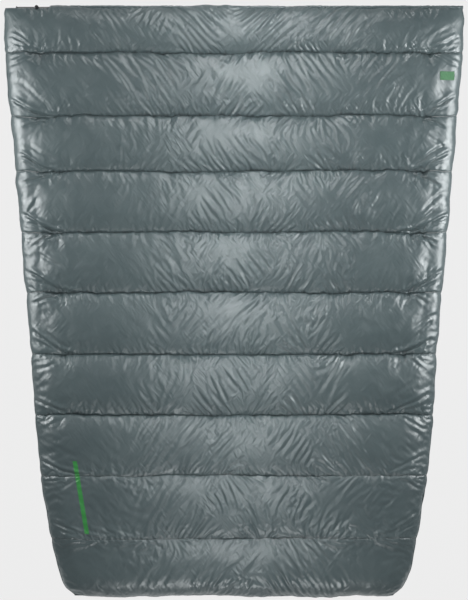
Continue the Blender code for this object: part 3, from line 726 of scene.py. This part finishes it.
def grain(name, colour, other, rough, scale, strength, height, metal=0.0, woven=False):
    """A two-colour material, grained by noise or by diagonal waves."""
    material, tree, shader = new_material(name)
    where = object_place(tree)
    if woven:
        texture = wave(tree, where, "DIAGONAL", Scale=scale, Distortion=1.5, Detail=2.0)
    else:
        texture = noise(tree, where, Scale=scale, Detail=5.0, Roughness=0.6)
    set_inputs(tree, shader, {
        "Base Color": mix_colour(tree, texture, colour, other),
        "Roughness": remap(tree, texture, (0.2, 0.8), (rough - 0.06, rough + 0.06)),
        "Normal": bump(tree, texture, Strength=strength, Distance=height),
        "Metallic": metal,
    })
    return material


SHELL_LOOK = {"dark": (0.067, 0.105, 0.113), "light": (0.088, 0.130, 0.137), "rough": (0.31, 0.42)}
SHELL = taffeta("shell_taffeta", **SHELL_LOOK)
STRIPED_SHELL = taffeta("shell_taffeta_stripe", **SHELL_LOOK, stripe=True)
LINING = taffeta("lining_taffeta", dark=(0.13, 0.155, 0.165), light=(0.16, 0.185, 0.195),
                 rough=(0.34, 0.46))
DOWN = grain("down", (0.80, 0.79, 0.76), (0.62, 0.60, 0.56),
             rough=0.95, scale=160.0, strength=1.0, height=0.003)
NET = grain("baffle_net", (0.30, 0.32, 0.33), (0.20, 0.22, 0.23),
            rough=0.8, scale=700.0, strength=0.6, height=0.0004, woven=True)
CORD = grain("cord_braid", (0.020, 0.024, 0.026), (0.060, 0.068, 0.072),
             rough=0.7, scale=500.0, strength=0.8, height=0.0006, woven=True)
PLASTIC = grain("moulded_plastic", (0.018, 0.019, 0.020), (0.030, 0.031, 0.032),
                rough=0.42, scale=900.0, strength=0.12, height=0.0002)
STEEL = grain("spring_wire", (0.60, 0.60, 0.61), (0.50, 0.50, 0.51),
              rough=0.30, scale=800.0, strength=0.1, height=0.0001, metal=1.0)
SNAP_STEEL = grain("snap_steel", (0.30, 0.31, 0.32), (0.24, 0.25, 0.26),
                   rough=0.32, scale=600.0, strength=0.1, height=0.0001, metal=1.0)
TAPE = grain("tape_weave", (0.045, 0.052, 0.055), (0.080, 0.090, 0.094),
             rough=0.75, scale=650.0, strength=0.8, height=0.0005, woven=True)
ELASTIC = grain("elastic_cord", (0.035, 0.040, 0.043), (0.075, 0.083, 0.087),
                rough=0.7, scale=700.0, strength=0.8, height=0.0005, woven=True)
GREEN = grain("green_tape", (0.10, 0.25, 0.13), (0.14, 0.33, 0.17),
              rough=0.6, scale=600.0, strength=0.7, height=0.0005, woven=True)
THREAD = grain("thread", (0.045, 0.056, 0.060), (0.070, 0.082, 0.086),
               rough=0.6, scale=1500.0, strength=0.5, height=0.0002)


# ------------------------------------------------------------------ mesh helpers
def link_object(name, mesh):
    obj = bpy.data.objects.new(name, mesh)
    bpy.context.scene.collection.objects.link(obj)
    return obj


def mesh_object(name, verts, faces, material, smooth=True):
    mesh = bpy.data.meshes.new(name)
    mesh.from_pydata([tuple(v) for v in verts], [], faces)
    mesh.materials.append(material)
    mesh.update()
    if smooth:
        mesh.shade_smooth()
    return link_object(name, mesh)


def tidy(mesh, weld=None, outward=True):
    """Weld points closer than weld, turn the faces outward, and shade smooth."""
    work = bmesh.new()
    work.from_mesh(mesh)
    if weld:
        bmesh.ops.remove_doubles(work, verts=work.verts, dist=weld)
    if outward:
        bmesh.ops.recalc_face_normals(work, faces=work.faces)
    work.to_mesh(mesh)
    work.free()
    mesh.shade_smooth()


def grid_faces(count_i, count_j, offset, flip):
    i, j = np.meshgrid(np.arange(count_i - 1), np.arange(count_j - 1), indexing="ij")
    corner = (i * count_j + j).ravel() + offset
    quads = np.stack([corner, corner + 1, corner + count_j + 1, corner + count_j], axis=1)
    return quads[:, ::-1] if flip else quads


def grid_object(name, grids, material, flips=(False,)):
    """One object from several grids given as (i, j, 3) arrays, welded where they meet."""
    faces, offset = [], 0
    for grid, flip in zip(grids, flips):
        faces.append(grid_faces(grid.shape[0], grid.shape[1], offset, flip))
        offset += grid.shape[0] * grid.shape[1]
    verts = np.concatenate([grid.reshape(-1, 3) for grid in grids])
    faces = np.concatenate(faces)
    mesh = bpy.data.meshes.new(name)
    mesh.vertices.add(len(verts))
    mesh.vertices.foreach_set("co", verts.astype(np.float32).ravel())
    mesh.loops.add(len(faces) * 4)
    mesh.loops.foreach_set("vertex_index", faces.astype(np.int32).ravel())
    mesh.polygons.add(len(faces))
    mesh.polygons.foreach_set("loop_start", np.arange(0, len(faces) * 4, 4, dtype=np.int32))
    mesh.materials.append(material)
    mesh.update(calc_edges=True)
    mesh.validate()
    if len(grids) > 1:
        tidy(mesh, weld=1e-5, outward=False)
        tidy(mesh)
    mesh.shade_smooth()
    return link_object(name, mesh)


def slab(name, upper, lower, material, turned=True):
    """Two grids closed by four rims; turned winds the far side of each pair the other way."""
    grids = [upper, lower]
    grids += [np.stack([upper[end], lower[end]], axis=0) for end in (0, -1)]
    grids += [np.stack([upper[:, end], lower[:, end]], axis=1) for end in (0, -1)]
    return grid_object(name, grids, material, [False, turned] * 3)


def angles(sides):
    return [2 * math.pi * m / sides for m in range(sides)]


def band(first, second, sides, flip=False):
    """Quads between two rings, given by the index of each ring's first point."""
    quads = []
    for m in range(sides):
        q = (m + 1) % sides
        quad = (first + m, first + q, second + q, second + m)
        quads.append((quad[0], quad[3], quad[2], quad[1]) if flip else quad)
    return quads


def tube(name, path, radius, material, sides=10):
    """A capped tube along a path; the radius is one value or one for each point."""
    path = [Vector(point) for point in path]
    count = len(path)
    radii = np.broadcast_to(radius, count).tolist()
    verts, faces = [], []
    for n, point in enumerate(path):
        along = (path[min(n + 1, count - 1)] - path[max(n - 1, 0)]).normalized()
        up = Vector((0, 0, 1)) if abs(along.z) < 0.9 else Vector((1, 0, 0))
        side = along.cross(up).normalized()
        up = side.cross(along).normalized()
        for turn in angles(sides):
            verts.append(point + side * radii[n] * math.cos(turn) + up * radii[n] * math.sin(turn))
    for n in range(count - 1):
        faces += band(n * sides, (n + 1) * sides, sides)
    faces.append(tuple(range(sides)))
    faces.append(tuple(range((count - 1) * sides, count * sides))[::-1])
    obj = mesh_object(name, verts, faces, material)
    tidy(obj.data)
    return obj


STITCH_LENGTH, STITCH_PITCH, STITCH_RADIUS = 0.0034, 0.0050, 0.00030
STITCH_LIFT = 0.0002
STITCH_SIDES = 5
# along a stitch: place as a part of its length, bow in z, and radius as a part of the full one
STITCH_STATIONS = [(-0.5, -0.0004, 0.55), (-0.3, 0.0001, 1.0), (0.0, 0.0003, 1.0),
                   (0.3, 0.0001, 1.0), (0.5, -0.0004, 0.55)]


def stitches(name, points):
    """Sewn thread along a line: short bowed dashes lying on the cloth."""
    points = np.asarray(points, float)
    run = np.concatenate([[0], np.cumsum(length(np.diff(points, axis=0)))])
    bow = np.array([station[1] for station in STITCH_STATIONS])
    sides = STITCH_SIDES
    verts, faces = [], []
    for n in range(int(run[-1] / STITCH_PITCH)):
        middle = (n + 0.5) * STITCH_PITCH
        at = [middle + station[0] * STITCH_LENGTH for station in STITCH_STATIONS]
        dash = np.stack([np.interp(at, run, points[:, axis]) for axis in range(3)], axis=1)
        dash[:, 2] += STITCH_LIFT + bow
        along = dash[-1] - dash[0]
        along = along / (np.linalg.norm(along) + 1e-12)
        side = np.cross(along, (0, 0, 1.0))
        side = side / (np.linalg.norm(side) + 1e-12)
        up = np.cross(side, along)
        base = len(verts)
        for point, (_, _, part) in zip(dash, STITCH_STATIONS):
            radius = STITCH_RADIUS * part
            for turn in angles(sides):
                verts.append(point + side * radius * math.cos(turn) + up * radius * math.sin(turn))
        for m in range(4):
            faces += band(base + m * sides, base + (m + 1) * sides, sides)
        faces.append(tuple(base + q for q in range(sides))[::-1])
        faces.append(tuple(base + 4 * sides + q for q in range(sides)))
    return mesh_object(name, verts, faces, THREAD)


# ------------------------------------------------------------------ how pieces ride the frame
def body_name(k):
    return "collar" if k == 1 else "footbox" if k >= 7 else f"row_{k}"


def attach(obj, body, replaced=None):
    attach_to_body(obj, body)
    if replaced:
        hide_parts(replaced)


def ride_row(obj, k):
    """Footbox rows ride the footbox body; for rows 1 to 6 the transform is only baked into the
    mesh.
    """
    if k >= 7:
        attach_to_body(obj, "footbox")
        return
    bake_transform(obj)


def ride_draft(obj):
    """Bake the piece's transform into its mesh; it rides no body."""
    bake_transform(obj)


# ------------------------------------------------------------------ rows and draft edges
def is_whole(k):
    """The collar and the footbox rows run from edge to edge, without draft edges."""
    return k == 1 or k >= 7


def mark_fields(obj, slack, painted_shade):
    # slack drives the crease bump; the other field holds the painted seam shade that darkens the
    # colour
    for name, values in (("slack", slack), ("painted_shade", painted_shade)):
        field = obj.data.attributes.new(name, "FLOAT", "POINT")
        field.data.foreach_set("value", np.ascontiguousarray(values, dtype=np.float32).ravel())


def build_row(k):
    span = slice(None) if is_whole(k) else BETWEEN_SEAMS
    label = "collar" if k == 1 else f"row_{k}"
    slack, painted_shade = SLACK[k - 1][span], PAINTED_SEAM_SHADE[k - 1][span]
    shell = grid_object(f"shell_cloth_{label}", [TOP[k - 1][span]],
                        STRIPED_SHELL if k >= 7 else SHELL)
    lining = grid_object(f"lining_cloth_{label}", [UNDER[k - 1][span][::2]], LINING, [True])
    mark_fields(shell, slack, painted_shade)
    mark_fields(lining, slack[::2], painted_shade[::2])
    ride_row(shell, k)
    ride_row(lining, k)
    if k <= 7:
        replaced = "footbox" if k == 7 else label
        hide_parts(f"shell_{replaced}")
        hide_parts(f"lining_{replaced}")


def build_draft(side, sign, k):
    columns = slice(0, LEFT_SEAM + 1) if sign < 0 else slice(RIGHT_SEAM, None)
    rim = 0 if sign < 0 else -1
    top, low = TOP[k - 1][columns].copy(), UNDER[k - 1][columns].copy()
    low[rim] = top[rim]
    for part in (top, low):        # a hair short at both ends, so neighbouring lengths turn freely
        part[:, 0, 1] -= 0.00025
        part[:, -1, 1] += 0.00025
    walls = [np.stack([top[:, end], low[:, end]], axis=1) for end in (0, -1)]
    draft = grid_object(f"draft_cloth_{side}_{k}", [top, low] + walls, SHELL, [False, True] * 2)
    ride_draft(draft)
    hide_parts(f"draft_{side}_{k}")


# ------------------------------------------------------------------ baffles, seams and down
NET_THICKNESS = 0.0003


def build_baffle(k):
    part = slice(None) if k in (1, 6, 7, 8, 9) else BETWEEN_SEAMS
    top, low = LINES[k][part], LOW_LINES[k][part]
    middle = (top + low) / 2
    middle[:, 1] += 0.0008 * smooth_noise((len(middle),), (3.0,), 400 + k)
    wall = grid_object(f"baffle_net_{k}", [np.stack([top, middle, low], axis=1)], NET)
    thick = wall.modifiers.new("thickness", "SOLIDIFY")
    thick.thickness = NET_THICKNESS
    thick.offset = 0.0
    attach(wall, body_name(k + 1), f"baffle_{k}_{k + 1}")
    sewn_part = BETWEEN_SEAMS if 2 <= k <= 5 else slice(6, -6)
    thread = stitches(f"seam_thread_{k}", LINES[k][sewn_part])
    attach(thread, body_name(k + 1))


def build_down(k):
    """A lumpy pad between shell and lining, kept under the deepest wrinkles."""
    columns = slice(12, COLUMNS - 12, 7)
    if not is_whole(k):
        columns = slice(LEFT_SEAM + 6, RIGHT_SEAM - 5, 7)
    stations = slice(10, STATIONS - 10, 4)
    lowest = TOP[k - 1].copy()
    for _ in range(5):
        z = np.pad(lowest[..., 2], 1, mode="edge")
        lowest[..., 2] = np.minimum.reduce(
            [z[1:-1, 1:-1], z[2:, 1:-1], z[:-2, 1:-1], z[1:-1, 2:], z[1:-1, :-2]])
    top, low = lowest[columns, stations], UNDER[k - 1][columns, stations]
    lump = smooth_noise(top.shape[:2], (1.0, 0.9), 500 + k)[..., None] * 0.06
    upper = low + (top - low) * np.clip(0.82 + lump, 0.6, 0.92)
    lower = low + (top - low) * np.clip(0.18 + lump, 0.10, 0.3)
    pad = slab(f"down_fill_{k}", upper, lower, DOWN)
    attach(pad, body_name(k), "down_collar" if k == 1 else f"down_row_{k}")


# ------------------------------------------------------------------ footbox base
BASE_Z = 0.0038                 # where its two faces meet at the mouth
BASE_TOP, BASE_BOTTOM = 0.0068, 0.0006
BASE_TURN = 0.030               # distance over which it rises to the rim
BASE_GAP = 0.0004               # least thickness


def build_footbox_base():
    box_low, box_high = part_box("footbox_base")
    line_y = box_high.y + (box_low.y - box_high.y) * np.linspace(0, 1, 96)
    edge = np.concatenate([TOP[k - 1][0] for k in FOOTBOX_ROWS])
    edge = edge[np.argsort(edge[:, 1])]
    half = np.interp(line_y, edge[:, 1], -edge[:, 0]) - 0.0006
    rim = (np.interp(line_y, edge[:, 1], edge[:, 2]) - 0.0004)[None, :]
    part = np.linspace(-1, 1, 121)
    part = np.sign(part) * (1 - (1 - np.abs(part)) ** 1.25)
    x = half[None, :] * part[:, None]
    y = np.broadcast_to(line_y[None, :], x.shape)
    inward = np.minimum(half[None, :] - np.abs(x), y - line_y[-1])
    flat = unit(inward / BASE_TURN)
    rise = 1 - np.sqrt(unit(1 - (1 - flat) ** 2))
    ripple = 0.0008 * smooth_noise(x.shape, (4, 3), 601)
    seam_dip = 1 - np.abs(np.sin((y - SEAM_Y[7]) * math.pi / PITCH)) ** 0.6
    mouth = np.sqrt(unit((line_y[0] - y) / 0.012))
    lower = np.maximum(BASE_BOTTOM + 0.0022 * seam_dip * flat + rise * rim, 0.0004)
    upper = BASE_TOP - 0.0012 * seam_dip + ripple * flat + rise * (rim - 0.0062)
    upper = BASE_Z + (upper - BASE_Z) * mouth
    lower = BASE_Z + (lower - BASE_Z) * mouth
    upper = np.where(flat <= 0, rim, np.maximum(upper, lower + BASE_GAP))
    lower = np.where(flat <= 0, rim - 0.0012, np.minimum(lower, upper - BASE_GAP))
    base = slab("footbox_base_panel", np.stack([x, y, upper], axis=-1),
                np.stack([x, y, lower], axis=-1), SHELL)
    attach(base, "footbox", "footbox_base")


# ------------------------------------------------------------------ edge bindings
BINDING_RADIUS = 0.0013


def binding(name, points, scale=1.0):
    ripple = smooth_noise((len(points),), (1.2,), len(points))
    return tube(name, points, BINDING_RADIUS * scale * (1 + 0.12 * ripple), SHELL, sides=8)


def build_bindings():
    tab_low, tab_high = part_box("snap_tab_left")
    tab_y = (tab_low.y + tab_high.y) / 2
    for side, column in (("left", 0), ("right", -1)):
        edge = TOP[0][column]
        # flat under the snap tab's root
        scale = 0.22 + 0.78 * unit((np.abs(edge[:, 1] - tab_y) - 0.0085) / 0.005)
        piece = binding(f"binding_collar_{side}", edge, scale)
        ride_row(piece, 1)
        for k in DRAFT_ROWS:
            piece = binding(f"binding_draft_{side}_{k}", TOP[k - 1][column])
            attach(piece, f"draft_{side}_{k}")
    # down the left edge, along the foot edge and up the right edge
    left = [TOP[k - 1][0, (0 if k == 7 else 1):] for k in FOOTBOX_ROWS]
    right = [TOP[k - 1][-1, ::-1][(1 if k < 10 else 0):] for k in FOOTBOX_ROWS[::-1]]
    piece = binding("binding_footbox", np.concatenate(left + [LINES[10][1:-1]] + right))
    attach(piece, "footbox")


# ------------------------------------------------------------------ neck hem and its cord
HEM_LOW, HEM_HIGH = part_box("neck_hem")
HEM_Y, HEM_Z = (HEM_LOW.y + HEM_HIGH.y) / 2, (HEM_LOW.z + HEM_HIGH.z) / 2
HEM_RADIUS = (HEM_HIGH.z - HEM_LOW.z) / 2
HEM_RINGS, HEM_SIDES = 900, 28
# the turned-in lip at the open -x end: step in x, and part of the hem's radius
HEM_LIP = [(-0.0004, 0.80), (-0.0001, 0.68), (0.002, 0.62), (0.02, 0.62)]
CORD_RADIUS = 0.0015
CORD_RINGS, CORD_SIDES = 900, 12
CORD_TWIST = 2600               # braid phase per metre


def build_neck_hem():
    xs = np.linspace(HEM_LOW.x, HEM_HIGH.x, HEM_RINGS)
    pucker = smooth_noise((HEM_RINGS, HEM_SIDES), (1.6, 2.4), 701)
    drift = 0.0006 * smooth_noise((HEM_RINGS,), (18,), 702)
    verts, faces = [], []
    for n, x in enumerate(xs):
        for m, turn in enumerate(angles(HEM_SIDES)):
            radius = HEM_RADIUS * (0.93 + 0.055 * pucker[n, m])
            flat = 1 - 0.18 * max(0.0, -math.cos(turn))
            verts.append((x, HEM_Y + drift[n] + radius * math.cos(turn),
                          HEM_Z + radius * math.sin(turn) * flat))
    for n in range(HEM_RINGS - 1):
        faces += band(n * HEM_SIDES, (n + 1) * HEM_SIDES, HEM_SIDES, flip=True)
    previous = 0
    for step_x, part in HEM_LIP:
        here = len(verts)
        for turn in angles(HEM_SIDES):
            verts.append((xs[0] + step_x, HEM_Y + drift[0] + HEM_RADIUS * part * math.cos(turn),
                          HEM_Z + HEM_RADIUS * part * math.sin(turn)))
        faces += band(previous, here, HEM_SIDES)
        previous = here
    faces.append(tuple((HEM_RINGS - 1) * HEM_SIDES + m for m in range(HEM_SIDES)))
    hem = mesh_object("neck_hem_tunnel", verts, faces, SHELL)
    attach(hem, "collar", "neck_hem")
    line = [(x, HEM_Y - HEM_RADIUS * 0.86, HEM_Z + HEM_RADIUS * 0.56)
            for x in np.linspace(HEM_LOW.x + 0.004, HEM_HIGH.x - 0.004, 400)]
    attach(stitches("neck_hem_thread", line), "collar")


def build_drawcord():
    cord_low, cord_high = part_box("drawcord")
    count, sides = CORD_RINGS, CORD_SIDES
    verts, faces = [], []
    for x in np.linspace(cord_low.x + 0.0030, cord_high.x, count):
        for turn in angles(sides):
            phase = x * CORD_TWIST
            braid = 1 + 0.10 * math.sin(4 * turn + phase) * math.sin(4 * turn - phase)
            radius = CORD_RADIUS * 0.97 * braid
            verts.append((x, HEM_Y + radius * math.cos(turn), HEM_Z + radius * math.sin(turn)))
    for n in range(count - 1):
        faces += band(n * sides, (n + 1) * sides, sides, flip=True)
    faces.append(tuple(range(sides)))
    faces.append(tuple(range((count - 1) * sides, count * sides))[::-1])
    cord = mesh_object("drawcord_braid", verts, faces, CORD)
    attach(cord, "drawcord", "drawcord")
    # the stopper knot: two turns over the cord's -x end
    coil_radius = 0.0021
    path = []
    for n in range(61):
        turn = n / 60 * 4 * math.pi
        path.append((cord_low.x + 0.0036 + 0.0012 * math.sin(turn / 2),
                     HEM_Y + coil_radius * math.cos(turn), HEM_Z + coil_radius * math.sin(turn)))
    attach(tube("drawcord_knot", path, 0.00135, CORD), "drawcord")


# ------------------------------------------------------------------ snap tabs and loops
LOOP_RADIUS = 0.0012


def build_snap_tab(side):
    """A ribbed tape, laid out along the CAD tab's own three main directions."""
    name = f"snap_tab_{side}"
    points = np.array([v.co for v in NODES[name].data.vertices])
    centre = points.mean(axis=0)
    axes = np.linalg.svd(points - centre)[2]
    long, wide, thick = [np.ptp((points - centre) @ axis) for axis in axes]
    long_axis, wide_axis, up = axes
    if up[2] < 0:
        up = -up
    part_u = np.linspace(-0.5, 0.5, 40)[:, None]
    part_v = np.linspace(-0.5, 0.5, 26)[None, :]
    narrow = 1 - 0.10 * unit(np.abs(2 * part_u)) ** 14
    face = centre + (part_u[..., None] * long) * long_axis
    face = face + (part_v * narrow)[..., None] * wide * wide_axis * 0.985
    rib = 0.00007 * np.sin(2 * math.pi * (part_v * wide) / 0.0016)
    edge = np.minimum(0.5 - np.abs(part_u), 0.5 - np.abs(part_v))
    swell = 0.5 * thick * (0.72 + 0.22 * unit(edge / 0.06) ** 0.5)
    rise = (swell + rib)[..., None] * up
    tab = slab(f"{name}_tape", face + rise, face - rise, TAPE, turned=False)
    attach(tab, name, name)


def build_mattress_loop(side, sign, place):
    name = f"mattress_loop_{side}_{place}"
    low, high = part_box(name)
    inner_x, outer_x = (low.x, high.x) if sign > 0 else (high.x, low.x)
    reach = abs(outer_x - inner_x) - 2 * LOOP_RADIUS
    path = []
    for n in range(81):
        part = n / 80
        x = outer_x - sign * LOOP_RADIUS - sign * reach * math.sin(math.pi * part) ** 0.55
        y = low.y + LOOP_RADIUS + (high.y - low.y - 2 * LOOP_RADIUS) * part
        path.append((x, y, (low.z + high.z) / 2))
    radii = [LOOP_RADIUS * (0.95 + 0.05 * math.cos(n * 2.4)) for n in range(81)]
    loop = tube(f"{name}_elastic", path, radii, ELASTIC, sides=12)
    attach(loop, name, name)


def build_accent_tab():
    """A green tape lying on the right draft edge of row 2."""
    low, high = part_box("accent_tab")
    line_x = np.linspace(low.x, high.x, 16)
    line_y = np.linspace(low.y, high.y, 22)
    cloth = TOP[1][RIGHT_SEAM:].reshape(-1, 3)

    def cloth_z(x, y):
        return cloth[np.argmin((cloth[:, 0] - x) ** 2 + (cloth[:, 1] - y) ** 2), 2]

    base = np.array([[cloth_z(float(x), float(y)) for y in line_y] for x in line_x])
    for _ in range(6):
        z = np.pad(base, 1, mode="edge")
        base = (z[2:, 1:-1] + z[:-2, 1:-1] + z[1:-1, 2:] + z[1:-1, :-2]) / 4
    x = np.broadcast_to(line_x[:, None], base.shape)
    y = np.broadcast_to(line_y[None, :], base.shape)
    ribs = 0.00010 * np.sin(2 * math.pi * y / 0.0018)
    tab = slab("accent_tab_tape", np.stack([x, y, base + 0.0016 + ribs], axis=-1),
               np.stack([x, y, base - 0.0004], axis=-1), GREEN, turned=False)
    ride_draft(tab)
    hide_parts("accent_tab")


# ------------------------------------------------------------------ moulded and metal fittings
# CAD piece, the body it rides, material, slot
FITTINGS = [
    ("cord_lock_body", "cord_lock", PLASTIC, "black_plastic"),
    ("cord_lock_button", "cord_lock_button", PLASTIC, "black_plastic"),
    ("snap_stud", "snap_tab_left", SNAP_STEEL, "snap_metal"),
    ("snap_socket", "snap_tab_right", SNAP_STEEL, "snap_metal"),
]
WIRE_RADIUS = 0.00042
SPRING_TURNS, SPRING_STEPS = 3.0, 144


def build_fitting(name, body, material, slot):
    """The CAD solid itself, with crisp edges and smooth round walls."""
    node = NODES[name]
    piece = mesh_object(f"{name}_finish", [node.matrix_world @ v.co for v in node.data.vertices],
                        [tuple(face.vertices) for face in node.data.polygons], material)
    tidy(piece.data, weld=1e-6)
    piece.data.set_sharp_from_angle(angle=math.radians(32))
    attach(piece, body, name)


def build_spring():
    """The lock's spring, a coil of fixed length riding the cord lock; the real spring shortens
    under the button.
    """
    low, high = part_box("cord_lock_spring")
    centre_x, centre_y = (low.x + high.x) / 2, (low.y + high.y) / 2
    coil_radius = (high.x - low.x) / 2 - WIRE_RADIUS
    path = []
    for n in range(SPRING_STEPS + 1):
        part = n / SPRING_STEPS
        turn = 2 * math.pi * SPRING_TURNS * part
        path.append((centre_x + coil_radius * math.cos(turn),
                     centre_y + coil_radius * math.sin(turn),
                     low.z + WIRE_RADIUS + (high.z - low.z - 2 * WIRE_RADIUS) * part))
    coil = tube("cord_lock_spring_wire", path, WIRE_RADIUS, STEEL)
    attach(coil, "cord_lock")
    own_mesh(coil)
    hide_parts("cord_lock_spring")


# ------------------------------------------------------------------ stage, light, camera
BACKDROP = (0.86, 0.86, 0.86, 1)
FLOOR_HALF = 9
FLOOR_Z = -0.95                 # well under the quilt, so that rows folded down clear it
SLAT_X = (0.02, 0.02, 0.0, 0.0, 0.01, 0.04, 0.08, 0.06, 0.0)      # from the foot to the neck


def build_floor():
    material, tree, shader = new_material("studio_floor")
    set_inputs(tree, shader, {
        "Base Color": (0.80, 0.80, 0.80, 1), "Roughness": 1.0, "Specular IOR Level": 0.0,
    })
    glow = add(tree, "Emission", {"Color": BACKDROP, "Strength": 1.0})
    blend = add(tree, "MixShader", {"Fac": 0.97, 1: shader.outputs[0], 2: glow.outputs[0]})
    set_inputs(tree, tree.nodes["Material Output"], {"Surface": blend.outputs[0]})
    corners = [(x * FLOOR_HALF, y * FLOOR_HALF, FLOOR_Z)
               for x, y in ((-1, -1), (1, -1), (1, 1), (-1, 1))]
    mesh_object("studio_floor", corners, [(0, 1, 2, 3)], material, smooth=False)


def build_world():
    """A dim sky for lighting, seen by the camera as a plain light grey."""
    world = bpy.data.worlds.new("studio")
    bpy.context.scene.world = world
    world.use_nodes = True
    tree = world.node_tree
    sky = tree.nodes["Background"]
    set_inputs(tree, sky, {"Color": (0.92, 0.98, 1.0, 1), "Strength": 0.150})
    seen = add(tree, "Background", {"Color": BACKDROP})
    camera_ray = add(tree, "LightPath", {}).outputs["Is Camera Ray"]
    pick = add(tree, "MixShader", {0: camera_ray, 1: sky.outputs[0], 2: seen.outputs[0]})
    set_inputs(tree, tree.nodes["World Output"], {"Surface": pick.outputs[0]})


def panel(name, at, look, size, power, spread=180):
    data = bpy.data.lights.new(name, "AREA")
    data.shape = "RECTANGLE"
    data.size, data.size_y = size
    data.energy = power
    data.spread = math.radians(spread)
    obj = link_object(name, data)
    obj.location = at
    obj.rotation_euler = (Vector(look) - Vector(at)).to_track_quat("-Z", "Y").to_euler()
    obj.visible_camera = False


def build_lights():
    # a ladder of slats over the quilt, brighter towards the neck, each leaning to the foot
    for n, x in enumerate(SLAT_X):
        y = -0.75 + 0.29 * n
        panel(f"key_slat_{n}", at=(x, y, 0.75), look=(x, y - 0.22, 0.07), size=(0.11, 0.30),
              power=0.24 + 0.028 * n, spread=110)
    panel("neck_low", at=(0, 2.7, 1.25), look=(0, 0.0, 0.03), size=(0.55, 0.5), power=8.0)
    panel("foot_low", at=(0, -2.1, 1.05), look=(0, -0.7, 0.03), size=(0.20, 0.4), power=5.6)
    panel("side_left", at=(-1.6, 0.50, 0.80), look=(-0.68, 0.50, 0.03), size=(1.20, 0.30),
          power=14.0)
    panel("side_right", at=(1.6, 0.42, 0.80), look=(0.66, 0.42, 0.03), size=(1.20, 0.30),
          power=17.5)


def build_camera():
    """Straight above the quilt, looking down."""
    data = bpy.data.cameras.new("camera")
    data.lens = 100
    data.sensor_width = 36
    data.clip_end = 100
    camera = link_object("camera", data)
    camera.location = (0, 0.0015, 5.474)
    bpy.context.scene.camera = camera
    bpy.context.scene.view_settings.view_transform = "Standard"


# ------------------------------------------------------------------ build everything
for k in ROWS:
    build_row(k)
for side, sign in SIDES:
    for k in DRAFT_ROWS:
        build_draft(side, sign, k)
for k in range(1, 10):
    build_baffle(k)
for k in ROWS:
    build_down(k)
build_footbox_base()
build_bindings()
build_neck_hem()
build_drawcord()
for side, sign in SIDES:
    build_snap_tab(side)
    for place in ("neck", "foot"):
        build_mattress_loop(side, sign, place)
build_accent_tab()
for fitting in FITTINGS:
    build_fitting(*fitting)
build_spring()
build_floor()
build_world()
build_lights()
build_camera()
